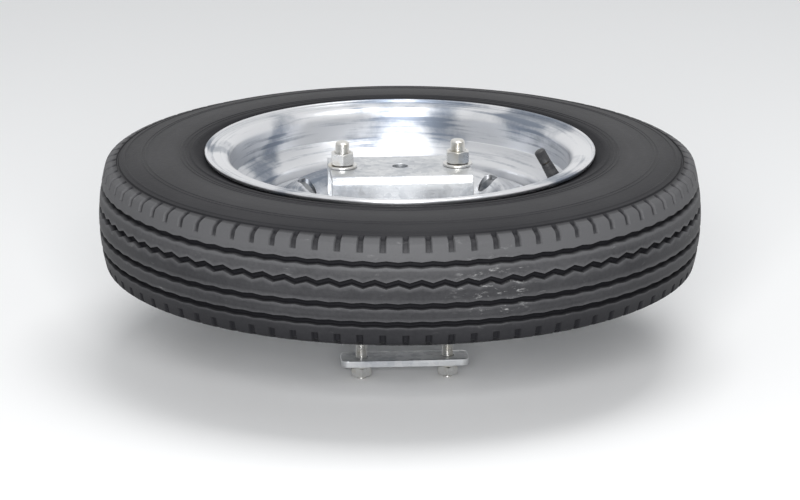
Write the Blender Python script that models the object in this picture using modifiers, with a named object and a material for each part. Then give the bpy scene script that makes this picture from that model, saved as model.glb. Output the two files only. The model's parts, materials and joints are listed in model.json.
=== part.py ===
"""Spare wheel for a small trailer, lying flat on a carrier clamped to the square tongue.

Metres, +Z up. The origin is the middle of the face that rests on the tongue, the tongue runs along Y,
and the wheel's axis is upright. Everything above the wheel disc comes off upward.
"""

import math

import bmesh
import bpy
from mathutils import Matrix, Vector

COLLECTION = "trailer_spare_wheel"
CUTTERS = "cutters"

# Fit
GAP = 0.0003  # between pieces that touch
ROUND_STEPS = 48  # facets round the tyre and the rim
DISC_STEPS = 40  # facets round the wheel disc
SMALL_STEPS = 16  # facets round fasteners and holes
PIN_STEPS = 12  # facets round the valve's pin
DRILL_HALF = 0.012  # a drill's reach above and below the middle of its wall

# Tongue and clamp
TONGUE_SIDE = 0.0508  # 2 inch square tube
PLATE_THICK = 0.005
BASE_X, BASE_Y, BASE_CORNER_R = 0.130, 0.140, 0.008
BAR_X, BAR_Y, BAR_THICK, BAR_CORNER_R = 0.112, 0.029, 0.006, 0.006
BOLT_X, BOLT_Y = 0.038, 0.0555  # places of the four clamp bolts
BOLT_R = 0.005
BOLT_HOLE_R = 0.0056
BOLT_FLATS, BOLT_HEAD_HIGH = 0.017, 0.0064
BOLT_NUT_HIGH = 0.008
BOLT_WASHER_R, WASHER_THICK = 0.0103, 0.002
BOLT_TIP, BOLT_TIP_CHAMFER = 0.003, 0.001  # length past the nut, and its end
HEX_CHAMFER = 0.0009

# Riser bracket: a hat section that straddles the disc's middle, feet outward
RISER_X, RISER_Y = 0.130, 0.076
RISER_TOP = 0.066
RISER_THICK = 0.004
RISER_FOOT = 0.032
BEND_R = 0.005  # outside radius of the bends

# Wheel studs
STUD_X = 0.0508  # half of the 101.6 mm (4 inch) bolt circle
STUD_R = 0.00635  # half inch thread
STUD_HOLE_R = 0.0068
STUD_HEAD_R, STUD_HEAD_HIGH = 0.0095, 0.005
STUD_TOP, STUD_CHAMFER = 0.1300, 0.0012
NUT_FLATS, NUT_HIGH = 0.019, 0.011
WHEEL_WASHER_R = 0.0130

# Wheel: its hub face is at the rim's middle
HUB_Z = RISER_TOP + GAP
TYRE_R = 0.2655
TREAD_HALF = 0.0440
CROWN_DROP = 0.0060
GROOVES = (-0.0262, -0.0097, 0.0097, 0.0262)
GROOVE_HALF, GROOVE_DEEP, GROOVE_TAPER = 0.0028, 0.0060, 0.0009
FLANGE_R, FLANGE_BEND_R = 0.1720, 0.0038
FLANGE_Z, LIP_Z = 0.0512, 0.0568
BEAD_R, BEAD_BEND_R = 0.1524, 0.0060
WELL_R, WELL_BEND_R = 0.1310, 0.0040
WELL_HALF = 0.0125
SLOPE_TOP_Z = 0.0245
RIM_THICK = 0.003

# Tyre outline, as (radius, height above the wheel's middle), from the shoulder in to the bead
SHOULDER_IN, SHOULDER_UP = 0.0040, 0.0024
WALL_MIDDLE, WALL_FOOT = (0.2330, 0.0518), (0.1800, 0.0538)
BEAD_OUTLINE = ((0.1738, 0.0515), (0.1690, 0.0502), (0.1595, 0.0506), (0.1548, 0.0480))
BEAD_TOP_Z, TOE_Z, TOE_R = 0.0440, 0.0330, 0.1580
INNER_WALL = ((0.1760, 0.0400), (0.2120, 0.0478), (0.2440, 0.0360))
INNER_CROWN = ((0.2515, 0.0200), (0.2535, 0.0))

# Wheel disc: pad, raised ring and a skirt inside the well
DISC_THICK = 0.0035
DISC_EDGE_R = WELL_R - RIM_THICK - GAP
BORE_R = 0.0325
PAD_R, PRESS_R = 0.0755, 0.006  # flat pad, and the radius of the pressed bends
CREST_R, CREST_HALF, CREST_HIGH = 0.0935, 0.004, 0.0150
RAMP_IN, RAMP_FOOT_Z = 0.010, 0.0080
SKIRT_TOP_Z, SKIRT_BEND_R, SKIRT_LOW_Z = 0.0055, 0.0045, -0.0120
LUG_HOLE_R = 0.0078
VENT_COUNT, VENT_R, VENT_AT_R = 8, 0.0085, 0.0870

# Retainer channel: web up, legs resting on the disc in front of and behind the hub bore
RETAINER_X, RETAINER_Y, RETAINER_HIGH = 0.124, 0.076, 0.037
RETAINER_THICK, RETAINER_BEND_R = 0.005, 0.007
RETAINER_HOLE_R = 0.0070

# Valve, on the slope between the well and the upper bead seat, measured along its own axis
VALVE_HOLE_R, VALVE_BORE_R = 0.0058, 0.0030
VALVE_LONG = 0.026  # rubber above the rim's wall
VALVE_TIP_LONG = 0.009  # brass above the rubber
SEAT_CLEAR = 0.0006  # between the wall and the rubber's two shoulders
COLLAR_R, BODY_R, BODY_HIGH, NOSE_R = 0.0070, 0.0056, 0.012, 0.0048
FOOT_R, FOOT_LOW_R, FOOT_DEEP = 0.0092, 0.0080, 0.005
TUBE_DEEP = 0.004
THREAD_R, PIN_ROOM_R, PIN_R, PIN_PROUD = 0.0038, 0.0016, 0.0007, 0.0002
PLUNGER_NECK, PLUNGER_TOP, PLUNGER_LOW = 0.008, 0.009, 0.012  # depths below the rubber's end
CAP_R, CAP_CHAMFER, CAP_ROOM, CAP_HIGH = 0.0049, 0.0012, 0.0018, 0.0040


def clear_scene():
    for thing in list(bpy.data.objects):
        bpy.data.objects.remove(thing, do_unlink=True)


def new_collection(name):
    made = bpy.data.collections.new(name)
    bpy.context.scene.collection.children.link(made)
    return made


def material(name, colour, roughness, metallic):
    made = bpy.data.materials.new(name)
    made.use_nodes = True
    shader = made.node_tree.nodes["Principled BSDF"]
    shader.inputs["Base Color"].default_value = (*colour, 1.0)
    shader.inputs["Roughness"].default_value = roughness
    shader.inputs["Metallic"].default_value = metallic
    return made


def add(name, mesh, finish, collection, matrix=None):
    """Put a mesh into the scene as one named piece."""
    piece = bpy.data.objects.new(name, mesh)
    if matrix is not None:
        piece.matrix_world = matrix
    if not mesh.materials:
        mesh.materials.append(finish)
    collection.objects.link(piece)
    return piece


def smooth(mesh, angle=math.radians(35)):
    mesh.shade_smooth()
    mesh.set_sharp_from_angle(angle=angle)


def baked(piece, name):
    """The piece's mesh with its modifiers applied; the piece itself is removed."""
    bpy.context.view_layer.update()
    evaluated = piece.evaluated_get(bpy.context.evaluated_depsgraph_get())
    mesh = bpy.data.meshes.new_from_object(evaluated)
    mesh.name = name
    bpy.data.objects.remove(piece, do_unlink=True)
    return mesh


# Outlines


def rounded(corners, steps=3):
    """A path through (x, y, radius) corners, each with a radius turned into an arc of that many steps."""
    path = []
    last = len(corners) - 1
    for index, (x, y, radius) in enumerate(corners):
        here = Vector((x, y))
        if radius == 0 or index in (0, last):
            path.append((x, y))
            continue
        before = (Vector(corners[index - 1][:2]) - here).normalized()
        after = (Vector(corners[index + 1][:2]) - here).normalized()
        half = before.angle(after) / 2
        centre = here + (before + after).normalized() * (radius / math.sin(half))
        start = here + before * (radius / math.tan(half)) - centre
        sweep = start.angle_signed(here + after * (radius / math.tan(half)) - centre)
        for step in range(steps + 1):
            turned_by = Matrix.Rotation(-sweep * step / steps, 2)
            path.append(tuple(centre + turned_by @ start))
    return path


def arc_through(a, b, c, steps):
    """Points on the circle through three points, from a to c."""
    a, b, c = Vector(a), Vector(b), Vector(c)
    doubled = 2 * ((a.x - c.x) * (b.y - c.y) - (b.x - c.x) * (a.y - c.y))
    p = (a.length_squared - c.length_squared) / doubled
    q = (b.length_squared - c.length_squared) / doubled
    centre = Vector((p * (b.y - c.y) - q * (a.y - c.y), q * (a.x - c.x) - p * (b.x - c.x)))
    start = a - centre
    sweep = start.angle_signed(c - centre)
    return [
        tuple(centre + Matrix.Rotation(-sweep * step / steps, 2) @ start)
        for step in range(steps + 1)
    ]


# Ways of making a shape


def outline_mesh(name, points, closed):
    """A wire of (radius, height) points in the XZ plane."""
    mesh = bpy.data.meshes.new(name)
    count = len(points)
    edges = [(i, i + 1) for i in range(count - 1)]
    if closed:
        edges.append((count - 1, 0))
    mesh.from_pydata([(x, 0.0, z) for x, z in points], edges, [])
    return mesh


def turned(name, points, finish, collection, steps=SMALL_STEPS, closed=False, wall=0.0, matrix=None):
    """A profile that runs down its outer side, swept round Z, with a wall inward if it is a shell."""
    piece = add(name, outline_mesh(name, points, closed), finish, collection, matrix)
    screw = piece.modifiers.new("turn", "SCREW")
    screw.steps = steps
    screw.render_steps = steps
    screw.use_merge_vertices = True
    screw.merge_threshold = 0.0001
    if wall:
        shell = piece.modifiers.new("wall", "SOLIDIFY")
        shell.thickness = wall
        shell.offset = -1.0
        shell.use_even_offset = True
    return piece


def bent_strip(name, path, width, wall, finish, collection):
    """A path in the YZ plane carried along X as an open sheet, with its thickness on the inner side."""
    mesh = bpy.data.meshes.new(name)
    count = len(path)
    near = [(-width / 2, y, z) for y, z in path]
    far = [(width / 2, y, z) for y, z in path]
    faces = [(i, i + 1, count + i + 1, count + i) for i in range(count - 1)]
    mesh.from_pydata(near + far, [], faces)
    piece = add(name, mesh, finish, collection)
    shell = piece.modifiers.new("wall", "SOLIDIFY")
    shell.thickness = wall
    shell.offset = -1.0
    shell.use_even_offset = True
    return piece


def block(name, size, centre, finish, collection, corner):
    """A plate with rounded upright corners."""
    mesh = bpy.data.meshes.new(name)
    shape = bmesh.new()
    bmesh.ops.create_cube(shape, size=1.0, matrix=Matrix.Diagonal((*size, 1.0)))
    upright = [e for e in shape.edges if abs(e.verts[0].co.z - e.verts[1].co.z) > size[2] / 2]
    bmesh.ops.bevel(shape, geom=upright, offset=corner, segments=3, profile=0.5, affect="EDGES")
    shape.to_mesh(mesh)
    shape.free()
    return add(name, mesh, finish, collection, Matrix.Translation(centre))


def rod_mesh(name, radius, bottom, top, sides=SMALL_STEPS, tip=0.0):
    """An upright cylinder from bottom to top, with a cone of height tip at its lower end."""
    mesh = bpy.data.meshes.new(name)
    shape = bmesh.new()
    bmesh.ops.create_cone(
        shape,
        cap_ends=True,
        segments=sides,
        radius1=radius,
        radius2=radius,
        depth=top - bottom,
        matrix=Matrix.Translation((0, 0, (top + bottom) / 2)),
    )
    if tip:
        low = [e for e in shape.edges if all(v.co.z < bottom + radius * 0.01 for v in e.verts)]
        bmesh.ops.bevel(shape, geom=low, offset=tip, segments=1, affect="EDGES")
    shape.to_mesh(mesh)
    shape.free()
    return mesh


def hexagon_mesh(name, flats, bottom, top, edge=HEX_CHAMFER):
    """A hexagon prism with broken top and bottom edges."""
    mesh = bpy.data.meshes.new(name)
    shape = bmesh.new()
    bmesh.ops.create_cone(
        shape,
        cap_ends=True,
        segments=6,
        radius1=flats / math.sqrt(3),
        radius2=flats / math.sqrt(3),
        depth=top - bottom,
        matrix=Matrix.Translation((0, 0, (top + bottom) / 2)),
    )
    flat_edges = [e for e in shape.edges if abs(e.verts[0].co.z - e.verts[1].co.z) < edge]
    bmesh.ops.bevel(shape, geom=flat_edges, offset=edge, segments=1, affect="EDGES")
    shape.to_mesh(mesh)
    shape.free()
    return mesh


def combine(piece, other, operation):
    """Cut, join or keep the common part of a piece and another object, with the exact solver."""
    step = piece.modifiers.new(operation.lower(), "BOOLEAN")
    step.operation = operation
    step.solver = "EXACT"
    step.object = other


def cutter(mesh, collection, matrix=None):
    tool = bpy.data.objects.new(mesh.name, mesh)
    if matrix is not None:
        tool.matrix_world = matrix
    tool.hide_render = True
    tool.display_type = "WIRE"
    collection.objects.link(tool)
    return tool


def drill(piece, name, radius, places, middle, collection, half=DRILL_HALF):
    """Upright round holes at each (x, y) place, through the wall whose middle height is given."""
    for index, (x, y) in enumerate(places):
        mesh = rod_mesh(f"{name}_{index}", radius, middle - half, middle + half)
        combine(piece, cutter(mesh, collection, Matrix.Translation((x, y, 0))), "DIFFERENCE")


# The carrier on the tongue


def build_base_plate(parts, cutters, zinc):
    plate = block(
        "base_plate",
        (BASE_X, BASE_Y, PLATE_THICK),
        (0, 0, PLATE_THICK / 2),
        zinc,
        parts,
        corner=BASE_CORNER_R,
    )
    drill(plate, "base_hole", BOLT_HOLE_R, clamp_places(), PLATE_THICK / 2, cutters)


def clamp_places():
    return [(x, y) for y in (-BOLT_Y, BOLT_Y) for x in (-BOLT_X, BOLT_X)]


def stud_places():
    return [(-STUD_X, 0.0), (STUD_X, 0.0)]


def build_riser(parts, cutters, zinc):
    """Hat section: foot, leg, web, leg, foot. The path is the outer side seen along +X."""
    foot_top = PLATE_THICK + GAP + RISER_THICK
    leg = RISER_Y / 2
    half = [
        (leg + RISER_FOOT, foot_top, 0),
        (leg, foot_top, BEND_R - RISER_THICK),
        (leg, RISER_TOP, BEND_R),
    ]
    other_half = [(-y, z, radius) for y, z, radius in reversed(half)]
    riser = bent_strip(
        "riser_bracket", rounded(half + other_half), RISER_X, RISER_THICK, zinc, parts
    )
    wall = RISER_THICK / 2
    drill(riser, "riser_foot_hole", BOLT_HOLE_R, clamp_places(), foot_top - wall, cutters)
    drill(riser, "riser_stud_hole", STUD_HOLE_R, stud_places(), RISER_TOP - wall, cutters)


def build_clamp_bars(parts, cutters, zinc):
    for name, y in (("clamp_bar_front", -BOLT_Y), ("clamp_bar_rear", BOLT_Y)):
        middle = -TONGUE_SIDE - BAR_THICK / 2
        size = (BAR_X, BAR_Y, BAR_THICK)
        bar = block(name, size, (0, y, middle), zinc, parts, corner=BAR_CORNER_R)
        places = [(-BOLT_X, y), (BOLT_X, y)]
        drill(bar, f"{name}_hole", BOLT_HOLE_R, places, middle, cutters)


def washer(name, inner, outer, bottom, finish, parts, place):
    top = bottom + WASHER_THICK
    ring = [(outer, top), (outer, bottom), (inner, bottom), (inner, top)]
    return turned(name, ring, finish, parts, closed=True, matrix=Matrix.Translation((*place, 0)))


def nut_mesh(name, flats, bore, bottom, high, parts, cutters, finish):
    """A hexagon nut's finished mesh, made once and shared by its copies."""
    top = bottom + high
    nut = add(name, hexagon_mesh(name, flats, bottom, top), finish, parts)
    bore_mesh = rod_mesh(f"{name}_bore", bore, bottom - high, top + high)
    combine(nut, cutter(bore_mesh, cutters), "DIFFERENCE")
    return baked(nut, name)


def build_clamp_fasteners(parts, cutters, zinc):
    """At each corner, from the top: bolt head, washer, foot, plate, bar, washer, nut."""
    top_washer = PLATE_THICK + RISER_THICK + 2 * GAP
    head_bottom = top_washer + WASHER_THICK + GAP
    low_washer = -TONGUE_SIDE - BAR_THICK - GAP - WASHER_THICK
    nut_bottom = low_washer - GAP - BOLT_NUT_HIGH
    tip = nut_bottom - BOLT_TIP
    head_mesh = hexagon_mesh("bolt", BOLT_FLATS, head_bottom, head_bottom + BOLT_HEAD_HIGH)
    head = add("clamp_bolt_head", head_mesh, zinc, parts)
    shank = rod_mesh("bolt_shank", BOLT_R, tip, head_bottom + BOLT_HEAD_HIGH / 2, tip=BOLT_TIP_CHAMFER)
    combine(head, cutter(shank, cutters), "UNION")
    bolt = baked(head, "clamp_bolt")
    inner = BOLT_R + GAP
    nut = nut_mesh("clamp_nut", BOLT_FLATS, inner, nut_bottom, BOLT_NUT_HIGH, parts, cutters, zinc)
    corners = ("front_left", "front_right", "rear_left", "rear_right")
    for corner, place in zip(corners, clamp_places()):
        at = Matrix.Translation((*place, 0))
        add(f"clamp_bolt_{corner}", bolt, zinc, parts, at)
        add(f"clamp_nut_{corner}", nut, zinc, parts, at)
        washer(f"clamp_washer_upper_{corner}", inner, BOLT_WASHER_R, top_washer, zinc, parts, place)
        washer(f"clamp_washer_lower_{corner}", inner, BOLT_WASHER_R, low_washer, zinc, parts, place)


def build_studs(parts, zinc):
    """Each stud has a round head under the riser's web and stands up through the disc's lug hole."""
    under_web = RISER_TOP - RISER_THICK - GAP
    profile = [
        (0.0, STUD_TOP),
        (STUD_R - STUD_CHAMFER, STUD_TOP),
        (STUD_R, STUD_TOP - STUD_CHAMFER),
        (STUD_R, under_web),
        (STUD_HEAD_R, under_web),
        (STUD_HEAD_R, under_web - STUD_HEAD_HIGH),
        (0.0, under_web - STUD_HEAD_HIGH),
    ]
    for side, place in zip(("left", "right"), stud_places()):
        turned(f"wheel_stud_{side}", profile, zinc, parts, matrix=Matrix.Translation((*place, 0)))


# The wheel


def crown(z):
    """Tyre radius across the tread, a shallow parabola."""
    return TYRE_R - CROWN_DROP * (z / TREAD_HALF) ** 2


def tread_points():
    """The tread from the upper shoulder to the lower one, with its straight grooves."""
    points = [(crown(TREAD_HALF), TREAD_HALF)]
    for middle in sorted(GROOVES, reverse=True):
        top, bottom = middle + GROOVE_HALF, middle - GROOVE_HALF
        floor = crown(middle) - GROOVE_DEEP
        points += [
            (crown(top), top),
            (floor, top - GROOVE_TAPER),
            (floor, bottom + GROOVE_TAPER),
            (crown(bottom), bottom),
        ]
    points.append((crown(TREAD_HALF), -TREAD_HALF))
    return points


def tyre_side_points():
    """Upper sidewall from the shoulder down to the bead's toe, round the rim flange."""
    edge = (crown(TREAD_HALF) - SHOULDER_IN, TREAD_HALF + SHOULDER_UP)
    wall = arc_through(edge, WALL_MIDDLE, WALL_FOOT, 6)
    seat = [(BEAD_R + GAP, BEAD_TOP_Z), (BEAD_R + GAP, TOE_Z)]
    return wall + list(BEAD_OUTLINE) + seat


def tyre_inner_points():
    """Inner face of the upper half, from the bead's toe up to the middle of the crown."""
    return [(TOE_R, TOE_Z)] + arc_through(*INNER_WALL, 4) + list(INNER_CROWN)


def build_tyre(parts, rubber):
    """Hollow casing, open at the beads: one closed outline, mirrored about the wheel's middle."""
    upper = tyre_side_points() + tyre_inner_points()
    lower = [(r, -z) for r, z in reversed(upper[:-1])]
    outline = list(reversed(tread_points())) + upper + lower
    turned(
        "tyre",
        list(reversed(outline)),
        rubber,
        parts,
        steps=ROUND_STEPS,
        closed=True,
        matrix=Matrix.Translation((0, 0, HUB_Z)),
    )


def rim_half():
    """Tyre side of the rim's upper half, from the rolled lip down to the middle of the well."""
    return [
        (FLANGE_R, LIP_Z, 0),
        (FLANGE_R, FLANGE_Z, FLANGE_BEND_R),
        (BEAD_R, FLANGE_Z, BEAD_BEND_R),
        (BEAD_R, SLOPE_TOP_Z, WELL_BEND_R),
        (WELL_R, WELL_HALF, WELL_BEND_R),
        (WELL_R, 0.0, 0),
    ]


def valve_frame():
    """Place and direction of the valve: square to the rim's slope, out towards the wheel's axis."""
    slope = Vector((BEAD_R - WELL_R, 0, SLOPE_TOP_Z - WELL_HALF)).normalized()
    out = Vector((-slope.z, 0, slope.x))
    middle = Vector(((BEAD_R + WELL_R) / 2, 0, HUB_Z + (SLOPE_TOP_Z + WELL_HALF) / 2))
    turn = out.to_track_quat("Z", "Y").to_matrix().to_4x4()
    return Matrix.Translation(middle) @ turn


def build_rim(parts, cutters, zinc):
    half = rim_half()
    lower = [(r, -z, radius) for r, z, radius in reversed(half[:-1])]
    path = rounded(half[:-1] + lower, steps=2)
    barrel = turned(
        "rim_barrel",
        path,
        zinc,
        parts,
        steps=ROUND_STEPS,
        wall=RIM_THICK,
        matrix=Matrix.Translation((0, 0, HUB_Z)),
    )
    drill_mesh = rod_mesh("valve_hole", VALVE_HOLE_R, -DRILL_HALF, DRILL_HALF)
    hole = cutter(drill_mesh, cutters, valve_frame())
    combine(barrel, hole, "DIFFERENCE")


def build_disc(parts, cutters, zinc):
    """Pressed disc: flat pad, raised ring, then a skirt that fits the rim's well."""
    crest_z = CREST_HIGH + DISC_THICK
    corners = [
        (BORE_R, DISC_THICK, 0),
        (PAD_R, DISC_THICK, PRESS_R),
        (CREST_R - CREST_HALF, crest_z, PRESS_R),
        (CREST_R + CREST_HALF, crest_z, PRESS_R),
        (DISC_EDGE_R - RAMP_IN, RAMP_FOOT_Z, PRESS_R),
        (DISC_EDGE_R, SKIRT_TOP_Z, SKIRT_BEND_R),
        (DISC_EDGE_R, SKIRT_LOW_Z, 0),
    ]
    disc = turned(
        "wheel_disc",
        rounded(corners, steps=1),
        zinc,
        parts,
        steps=DISC_STEPS,
        wall=DISC_THICK,
        matrix=Matrix.Translation((0, 0, HUB_Z)),
    )
    lug_places = [(STUD_X, 0), (0, STUD_X), (-STUD_X, 0), (0, -STUD_X)]
    drill(disc, "lug_hole", LUG_HOLE_R, lug_places, HUB_Z + DISC_THICK / 2, cutters)
    vent_places = [
        (VENT_AT_R * math.cos(angle), VENT_AT_R * math.sin(angle))
        for angle in (math.tau * (index + 0.5) / VENT_COUNT for index in range(VENT_COUNT))
    ]
    drill(disc, "vent", VENT_R, vent_places, HUB_Z + crest_z / 2, cutters, half=crest_z)


def build_valve(parts, rubber, brass, plastic):
    """Snap-in valve: rubber stem, brass tube, core pin and screw cap, all on the valve's own axis."""
    at = valve_frame()
    neck = VALVE_HOLE_R - GAP
    under, over = -SEAT_CLEAR, RIM_THICK + SEAT_CLEAR
    stem = [
        (VALVE_BORE_R, VALVE_LONG),
        (NOSE_R, VALVE_LONG),
        (BODY_R, BODY_HIGH),
        (COLLAR_R, over),
        (neck, over),
        (neck, under),
        (FOOT_R, under),
        (FOOT_LOW_R, under - FOOT_DEEP),
        (VALVE_BORE_R, under - FOOT_DEEP),
    ]
    turned("valve_stem", stem, rubber, parts, closed=True, matrix=at)
    tube_r, thread_low = VALVE_BORE_R - GAP, VALVE_LONG + GAP
    end = thread_low + VALVE_TIP_LONG
    insert = [
        (PIN_ROOM_R, end),
        (THREAD_R, end),
        (THREAD_R, thread_low),
        (tube_r, thread_low),
        (tube_r, under - TUBE_DEEP),
        (PIN_ROOM_R, under - TUBE_DEEP),
    ]
    turned("valve_insert", insert, brass, parts, closed=True, matrix=at)
    plunger_r = PIN_ROOM_R - GAP
    pin = [
        (0.0, end + PIN_PROUD),
        (PIN_R, end + PIN_PROUD),
        (PIN_R, VALVE_LONG - PLUNGER_NECK),
        (plunger_r, VALVE_LONG - PLUNGER_TOP),
        (plunger_r, VALVE_LONG - PLUNGER_LOW),
        (0.0, VALVE_LONG - PLUNGER_LOW),
    ]
    turned("valve_pin", pin, brass, parts, steps=PIN_STEPS, matrix=at)
    cap_low, cap_top = thread_low + GAP, end + CAP_HIGH
    cap = [
        (0.0, cap_top),
        (CAP_R - CAP_CHAMFER, cap_top),
        (CAP_R, cap_top - CAP_CHAMFER),
        (CAP_R, cap_low),
        (THREAD_R + GAP, cap_low),
        (THREAD_R + GAP, end + CAP_ROOM),
        (0.0, end + CAP_ROOM),
    ]
    turned("valve_cap", cap, plastic, parts, matrix=at)


# What holds the wheel down


def build_retainer(parts, cutters, zinc):
    """Channel with its web up, its two legs standing on the disc's pad."""
    foot = HUB_Z + DISC_THICK + GAP
    web = foot + RETAINER_HIGH
    leg = RETAINER_Y / 2
    bend = RETAINER_BEND_R
    path = rounded([(leg, foot, 0), (leg, web, bend), (-leg, web, bend), (-leg, foot, 0)])
    channel = bent_strip("retainer_channel", path, RETAINER_X, RETAINER_THICK, zinc, parts)
    places = stud_places() + [(0.0, 0.0)]
    drill(channel, "retainer_hole", RETAINER_HOLE_R, places, web - RETAINER_THICK / 2, cutters)
    return web


def build_wheel_nuts(parts, cutters, zinc, web):
    low = web + GAP
    nut_bottom = low + WASHER_THICK + GAP
    nut = nut_mesh("wheel_nut", NUT_FLATS, STUD_R + GAP, nut_bottom, NUT_HIGH, parts, cutters, zinc)
    for side, place in zip(("left", "right"), stud_places()):
        washer(f"wheel_washer_{side}", STUD_R + GAP, WHEEL_WASHER_R, low, zinc, parts, place)
        add(f"wheel_nut_{side}", nut, zinc, parts, Matrix.Translation((*place, 0)))


def finish_shading(parts):
    for piece in parts.objects:
        smooth(piece.data)


def main():
    clear_scene()
    parts = new_collection(COLLECTION)
    cutters = new_collection(CUTTERS)
    zinc = material("zinc_coated_steel", (0.62, 0.63, 0.65), 0.32, 1.0)
    bright_zinc = material("bright_zinc", (0.72, 0.73, 0.75), 0.22, 1.0)
    plated = material("plated_fasteners", (0.66, 0.67, 0.66), 0.28, 1.0)
    rubber = material("tyre_rubber", (0.035, 0.036, 0.040), 0.62, 0.0)
    valve_rubber = material("valve_rubber", (0.020, 0.020, 0.022), 0.55, 0.0)
    brass = material("brass", (0.62, 0.47, 0.20), 0.30, 1.0)
    plastic = material("cap_plastic", (0.025, 0.025, 0.027), 0.45, 0.0)
    build_base_plate(parts, cutters, zinc)
    build_riser(parts, cutters, zinc)
    build_clamp_bars(parts, cutters, zinc)
    build_clamp_fasteners(parts, cutters, plated)
    build_studs(parts, plated)
    build_tyre(parts, rubber)
    build_rim(parts, cutters, bright_zinc)
    build_disc(parts, cutters, bright_zinc)
    build_valve(parts, valve_rubber, brass, plastic)
    web = build_retainer(parts, cutters, zinc)
    build_wheel_nuts(parts, cutters, plated, web)
    finish_shading(parts)


main()
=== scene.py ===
"""Looks of a small trailer's spare wheel and its tongue carrier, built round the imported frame.

Metres, +Z up, with the wheel's axis upright and the tongue along Y. The frame gives each piece its place and
its outer size. This script adds the fine surface: ribs, zigzag grooves and notched shoulders, rolled and
pressed steel, hexagons and threads, and a finish for every piece.
"""

from __future__ import annotations

import json
import logging
import math
from dataclasses import dataclass, replace
from enum import Enum
from typing import Optional, Sequence, Union

import bpy
import numpy as np
from mathutils import Matrix, Vector


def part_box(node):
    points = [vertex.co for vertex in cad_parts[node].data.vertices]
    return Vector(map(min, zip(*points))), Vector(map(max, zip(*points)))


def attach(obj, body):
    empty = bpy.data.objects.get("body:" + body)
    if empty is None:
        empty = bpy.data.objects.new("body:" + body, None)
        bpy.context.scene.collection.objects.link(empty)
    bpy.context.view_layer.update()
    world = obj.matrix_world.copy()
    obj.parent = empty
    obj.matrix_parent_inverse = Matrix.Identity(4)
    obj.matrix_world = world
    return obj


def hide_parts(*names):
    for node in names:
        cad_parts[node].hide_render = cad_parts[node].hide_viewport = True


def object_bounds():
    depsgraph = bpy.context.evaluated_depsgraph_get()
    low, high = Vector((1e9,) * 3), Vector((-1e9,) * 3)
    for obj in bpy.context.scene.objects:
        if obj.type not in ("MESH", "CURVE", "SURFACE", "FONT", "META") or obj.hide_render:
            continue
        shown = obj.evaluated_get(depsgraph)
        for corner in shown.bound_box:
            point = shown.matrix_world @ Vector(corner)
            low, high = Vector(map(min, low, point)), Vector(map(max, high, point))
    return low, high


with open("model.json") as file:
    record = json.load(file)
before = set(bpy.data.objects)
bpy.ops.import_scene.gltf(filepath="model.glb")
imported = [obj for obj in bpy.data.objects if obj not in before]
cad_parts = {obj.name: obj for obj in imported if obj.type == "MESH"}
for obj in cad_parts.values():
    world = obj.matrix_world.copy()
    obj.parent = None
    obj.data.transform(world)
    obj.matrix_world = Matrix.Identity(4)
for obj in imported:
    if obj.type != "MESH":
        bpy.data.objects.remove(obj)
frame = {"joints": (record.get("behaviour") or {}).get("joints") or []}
CAD_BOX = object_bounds()

MM = 0.001
TURN = 2.0 * math.pi
LOG = logging.getLogger("spare_wheel")


# Outlines and surfaces


def unit(vector: np.ndarray) -> np.ndarray:
    """The vector at length one."""
    return vector / np.linalg.norm(vector)


def around(columns: int) -> np.ndarray:
    """Angles once round a circle, as one row."""
    return np.linspace(0.0, TURN, columns, endpoint=False)[None, :]


def filleted(corners: Sequence[tuple[float, float, float]], steps: int) -> np.ndarray:
    """A path through corners, each rounded by an arc that is tangent to both its sides.

    The arc's centre is on the corner's bisector, radius / sin(half angle) from the corner, and the arc starts
    and ends radius / tan(half angle) from it.

    Args:
        corners: x, y and arc radius of each corner; a radius of 0 leaves it sharp.
        steps: straight pieces in each arc.

    Returns:
        The path's points, one per row.
    """
    points = np.array([corner[:2] for corner in corners])
    path = [points[:1]]
    for index in range(1, len(corners) - 1):
        here, radius = points[index], corners[index][2]
        if radius == 0:
            path.append(here[None])
            continue
        before, after = unit(points[index - 1] - here), unit(points[index + 1] - here)
        half = np.arccos(np.clip(before @ after, -1.0, 1.0)) / 2
        centre = here + unit(before + after) * radius / np.sin(half)
        ends = here + np.stack([before, after]) * radius / np.tan(half) - centre
        first, last = np.arctan2(ends[:, 1], ends[:, 0])
        sweep = (last - first + math.pi) % TURN - math.pi
        angle = first + sweep * np.linspace(0.0, 1.0, steps + 1)
        path.append(centre + radius * np.stack([np.cos(angle), np.sin(angle)], 1))
    path.append(points[-1:])
    return np.concatenate(path)


def densified(path: np.ndarray, step: float) -> np.ndarray:
    """The path with each straight stretch split evenly into pieces no longer than step.

    Args:
        path: the path's points.
        step: the longest piece that is left.

    Returns:
        The path with its extra points.
    """
    length = np.linalg.norm(np.diff(path, axis=0), axis=1)
    counts = np.maximum(np.ceil(length / step).astype(int), 1)
    index = np.repeat(np.arange(len(counts)), counts)
    share = (np.arange(len(index)) - np.repeat(np.cumsum(counts) - counts, counts)) / counts[index]
    points = path[index] + (path[index + 1] - path[index]) * share[:, None]
    return np.vstack([points, path[-1:]])


def unit_rows(rows: np.ndarray) -> np.ndarray:
    """Each row at length one."""
    return rows / np.linalg.norm(rows, axis=1, keepdims=True)


def path_normals(path: np.ndarray) -> np.ndarray:
    """The left-hand normal at each point, longer at a bend by its mitre: twice the sum over its square.

    Args:
        path: the path's points.

    Returns:
        A normal for each point.
    """
    step = unit_rows(np.diff(path, axis=0))
    left = np.stack([-step[:, 1], step[:, 0]], 1)
    mitre = np.vstack([left[:1], left]) + np.vstack([left, left[-1:]])
    return 2 * mitre / (mitre**2).sum(1, keepdims=True)


def run_along(path: np.ndarray) -> np.ndarray:
    """Distance along a path from its start to each of its points."""
    return np.concatenate([[0.0], np.cumsum(np.linalg.norm(np.diff(path, axis=0), axis=1))])


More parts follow.
